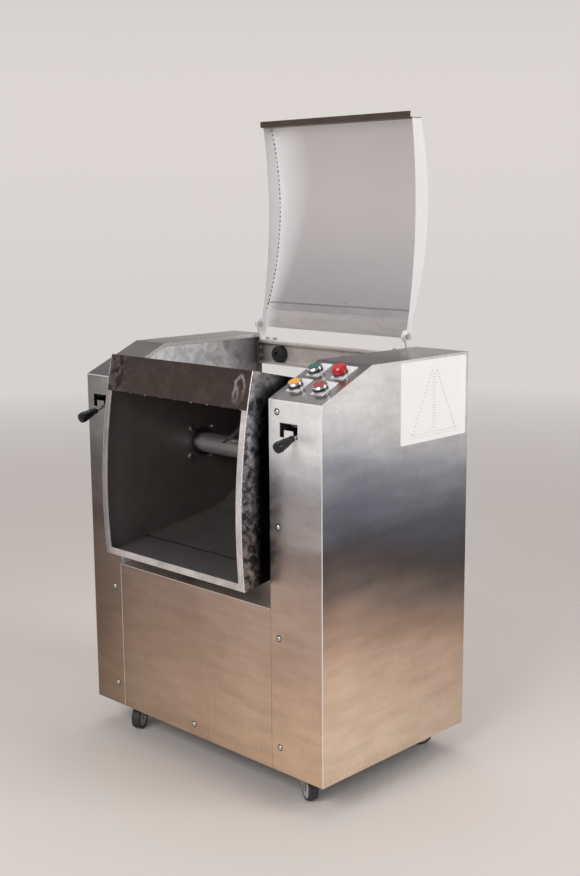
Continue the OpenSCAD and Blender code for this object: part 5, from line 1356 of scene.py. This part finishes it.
for name, heights, length, width in (("short_rules", SHORT_RULES_Z, 0.011, 0.0016),
                                     ("long_rules", LONG_RULES_Z, 0.15, 0.0010)):
    rows = points_mesh(name, [(FILM_OUT, MIDDLE_Y, z) for z in heights])
    grown("chart_" + name, RULED_LINES, rows, "cabinet", "legend_aluminium", rule_length=length,
          rule_width=width, material=CHART_PALE_INK)
slants = [[(FILM_OUT, MIDDLE_Y + side * reach, z) for reach, z in (SLANT_TOP, SLANT_FOOT)]
          for side in (-1, 1)]
weld("chart_dotted_lines", slants, CHART_INK, body="cabinet", slot="legend_aluminium",
     pitch=0.0075, drop_length=0.0026, drop_width=0.0007, unevenness=0.0)

# %% [markdown]
# ## Turned pieces
#
# Hubs, caps and sleeves are turned: a profile is spun round an axis. Mesh code does it ring by
# ring, merges the doubled points on the axis, and sets the faces to point outwards.


# %% Helper that turns a piece
def turned(name, profiles, centre, axis, finish, body, count=40):
    """Spins closed profiles of (along, radius) points round an axis, as separate shells."""
    way = Vector(axis).normalized()
    side = way.orthogonal().normalized()
    other = way.cross(side)
    shell = bmesh.new()
    for profile in profiles:
        rings = []
        for step in range(count):
            angle = 2 * math.pi * step / count
            out = side * math.cos(angle) + other * math.sin(angle)
            rings.append([shell.verts.new(Vector(centre) + way * along + out * radius)
                          for along, radius in profile])
        for i in range(count):
            here, after = rings[i], rings[(i + 1) % count]
            for j in range(len(profile)):
                below = (j + 1) % len(profile)
                shell.faces.new((here[j], after[j], after[below], here[below]))
    bmesh.ops.remove_doubles(shell, verts=shell.verts, dist=0.000001)
    bmesh.ops.recalc_face_normals(shell, faces=shell.faces)
    mesh = bpy.data.meshes.new(name)
    shell.to_mesh(mesh)
    shell.free()
    mesh.materials.append(finish)
    mesh.shade_smooth()
    mesh.set_sharp_from_angle(angle=math.radians(32))
    piece = new_piece(name, mesh)
    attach(piece, body)


joints = {joint["name"]: joint for joint in frame["record"]["behaviour"]["joints"]}

# %% [markdown]
# ## Caster hubs
#
# Each caster wheel has a grey dished hub on both faces, from the axle to the tread. It turns with
# the wheel, so it takes its axis from the wheel's joint.

# %% Hub covers
HUB_FACE = [(0.0081, 0.0042), (0.0101, 0.0050), (0.0101, 0.0112), (0.0086, 0.0126),
            (0.0086, 0.0192), (0.0093, 0.0204), (0.0079, 0.0206), (0.0076, 0.0042)]
hub_faces = [[(side * along, radius) for along, radius in HUB_FACE] for side in (-1, 1)]
wheels = [joint for name, joint in joints.items() if name.startswith("caster_roll")]
for joint in wheels:
    turned("hub_cover_" + joint["child"][-2:], hub_faces, joint["pos_m"], joint["axis"], HUB_GREY,
           joint["child"])
print("hub covers:", len(wheels))

# %% [markdown]
# ## Knob ends
#
# Each latch knob ends in a small cap with a sunk middle. The profile is written from the knob's
# end, and the left stem is the longer one.

# %% Knob caps
STEM_DROP = math.radians(17)
STEM_WAY = (0.0, -math.cos(STEM_DROP), -math.sin(STEM_DROP))
CAP_PROFILE = [(-0.002, 0.0), (-0.002, 0.0052), (0.0002, 0.0052), (0.0005, 0.0047),
               (0.0005, 0.0036), (0.0001, 0.0032), (0.0001, 0.0)]
KNOB_ENDS = {"left": 0.11601, "right": 0.09801}
for side, knob_end in KNOB_ENDS.items():
    cap = [(knob_end + along, radius) for along, radius in CAP_PROFILE]
    turned(side + "_knob_cap", [cap], joints[side + "_latch_lift"]["pos_m"], STEM_WAY,
           FINISHES["black_plastic"], side + "_latch_handle", count=32)
print("knob caps:", len(KNOB_ENDS))

# %% [markdown]
# ## Rubber sleeve on the crossbar's buffer
#
# The tub comes to rest against a thick rubber buffer on the crossbar. The solid is its hard core.
# A sleeve with a rounded nose is pushed over it, and leaves the hole for the screw free.

# %% Buffer sleeve
WEB_Y = REAR_Y - 0.003
BUFFER_FOOT = (-0.179, WEB_Y, 0.7969)
CROSSBAR_LOW_Z = 0.7
BORE, THICK, SHOULDER, NOSE = 0.0110, 0.0185, 0.0172, 0.0148
core = [corner.co for corner in nodes["tub_buffers"].data.vertices if corner.co.z > CROSSBAR_LOW_Z]
sleeve_length = WEB_Y - min(corner.y for corner in core) - 0.001
sleeve = [(0.0004, BORE), (0.0004, THICK), (sleeve_length * 0.72, THICK),
          (sleeve_length - 0.0022, SHOULDER), (sleeve_length, NOSE), (sleeve_length, BORE)]
turned("buffer_sleeve", [sleeve], BUFFER_FOOT, (0.0, -1.0, 0.0), FINISHES["rubber"], "cabinet",
       count=36)
print("sleeve length", round(sleeve_length, 4))

# %% [markdown]
# ## Floor
#
# The mixer stands on a plain pale floor that reaches far past it on every side, so that it can be
# looked at from all round. Near the machine the floor takes its shadow. Far away it fades to the
# tone of the room, so there is no horizon line.

# %% Floor
FLOOR_COLOUR = (0.80, 0.745, 0.70)
ROOM_TONE = (0.68, 0.645, 0.625)
FLOOR_REACH, FADE_FROM, FADE_TO = 16.0, 1.5, 5.5


def floor_paint():
    """Matt paint near the machine, and the room's own tone far away, as the eye sees it."""
    material, tree, shader, coordinates = new_finish("floor_paint")
    place_on = coordinates.outputs["Object"]
    deeper = tuple(channel * 0.97 for channel in FLOOR_COLOUR)
    paint = blend_colour(tree, noise(tree, place_on, 1.5, 2.0), FLOOR_COLOUR, deeper)
    tree.links.new(paint, shader.inputs["Base Color"])
    shader.inputs["Roughness"].default_value = 0.7
    rays = tree.nodes.new("ShaderNodeLightPath").outputs
    seen = maths(tree, "MAXIMUM", rays["Is Camera Ray"], rays["Is Glossy Ray"])
    seen = maths(tree, "MAXIMUM", seen, rays["Is Transmission Ray"])
    away = ramp(tree, length_of(tree, place_on), FADE_FROM, FADE_TO)
    room_tone = place(tree, "ShaderNodeEmission", Color=(*ROOM_TONE, 1))
    mixed = tree.nodes.new("ShaderNodeMixShader")
    sources = (times(tree, seen, away), shader.outputs[0], room_tone.outputs[0])
    for socket, source in zip(mixed.inputs, sources):
        tree.links.new(source, socket)
    tree.links.new(mixed.outputs[0], tree.nodes["Material Output"].inputs["Surface"])
    return material


corners = [(-1, -1), (1, -1), (1, 1), (-1, 1)]
floor_mesh = bpy.data.meshes.new("floor")
floor_mesh.from_pydata([(x * FLOOR_REACH, y * FLOOR_REACH, 0) for x, y in corners], [],
                       [(0, 1, 2, 3)])
floor_mesh.materials.append(floor_paint())
new_piece("floor", floor_mesh)
print("floor:", 2 * FLOOR_REACH, "m square")

# %% [markdown]
# ## Light
#
# Polished steel shows the room. So the room is pale at eye height and darker overhead, and large
# soft lamps stand high up on three sides, where they fill the tub and draw soft shadows.

# %% Lamps and room
MIDDLE = Vector((0.0, 0.0, 0.6))
LAMPS = {
    "front_lamp": ((0.5, -3.2, 2.5), (2.2, 1.6), 62),
    "side_lamp": ((2.9, 1.0, 2.4), (1.6, 2.0), 44),
    "top_lamp": ((-0.6, 0.6, 3.4), (2.4, 2.4), 26),
}
EYE_LEVEL, OVERHEAD, CEILING = (0.85, 0.806, 0.781), (0.42, 0.41, 0.42), (0.34, 0.34, 0.35)
ROOM_STRENGTH = 0.8

for name, (at, size, power) in LAMPS.items():
    lamp_data = bpy.data.lights.new(name, "AREA")
    lamp_data.shape = "RECTANGLE"
    lamp_data.size, lamp_data.size_y = size
    lamp_data.energy = power
    lamp = bpy.data.objects.new(name, lamp_data)
    bpy.context.scene.collection.objects.link(lamp)
    lamp.location = at
    lamp.rotation_euler = (MIDDLE - Vector(at)).to_track_quat("-Z", "Y").to_euler()

world = bpy.data.worlds.new("room")
world.use_nodes = True
bpy.context.scene.world = world
room = world.node_tree
room_light = room.nodes["Background"]
up = axis_of(room, place(room, "ShaderNodeTexCoord").outputs["Generated"], "Z")
room_tones = [(0.0, EYE_LEVEL), (0.25, EYE_LEVEL), (0.5, OVERHEAD), (1.0, CEILING)]
room.links.new(stops(room, ramp(room, up, -0.1, 0.9), room_tones), room_light.inputs["Color"])
room_light.inputs["Strength"].default_value = ROOM_STRENGTH
print("lamps:", len(LAMPS))
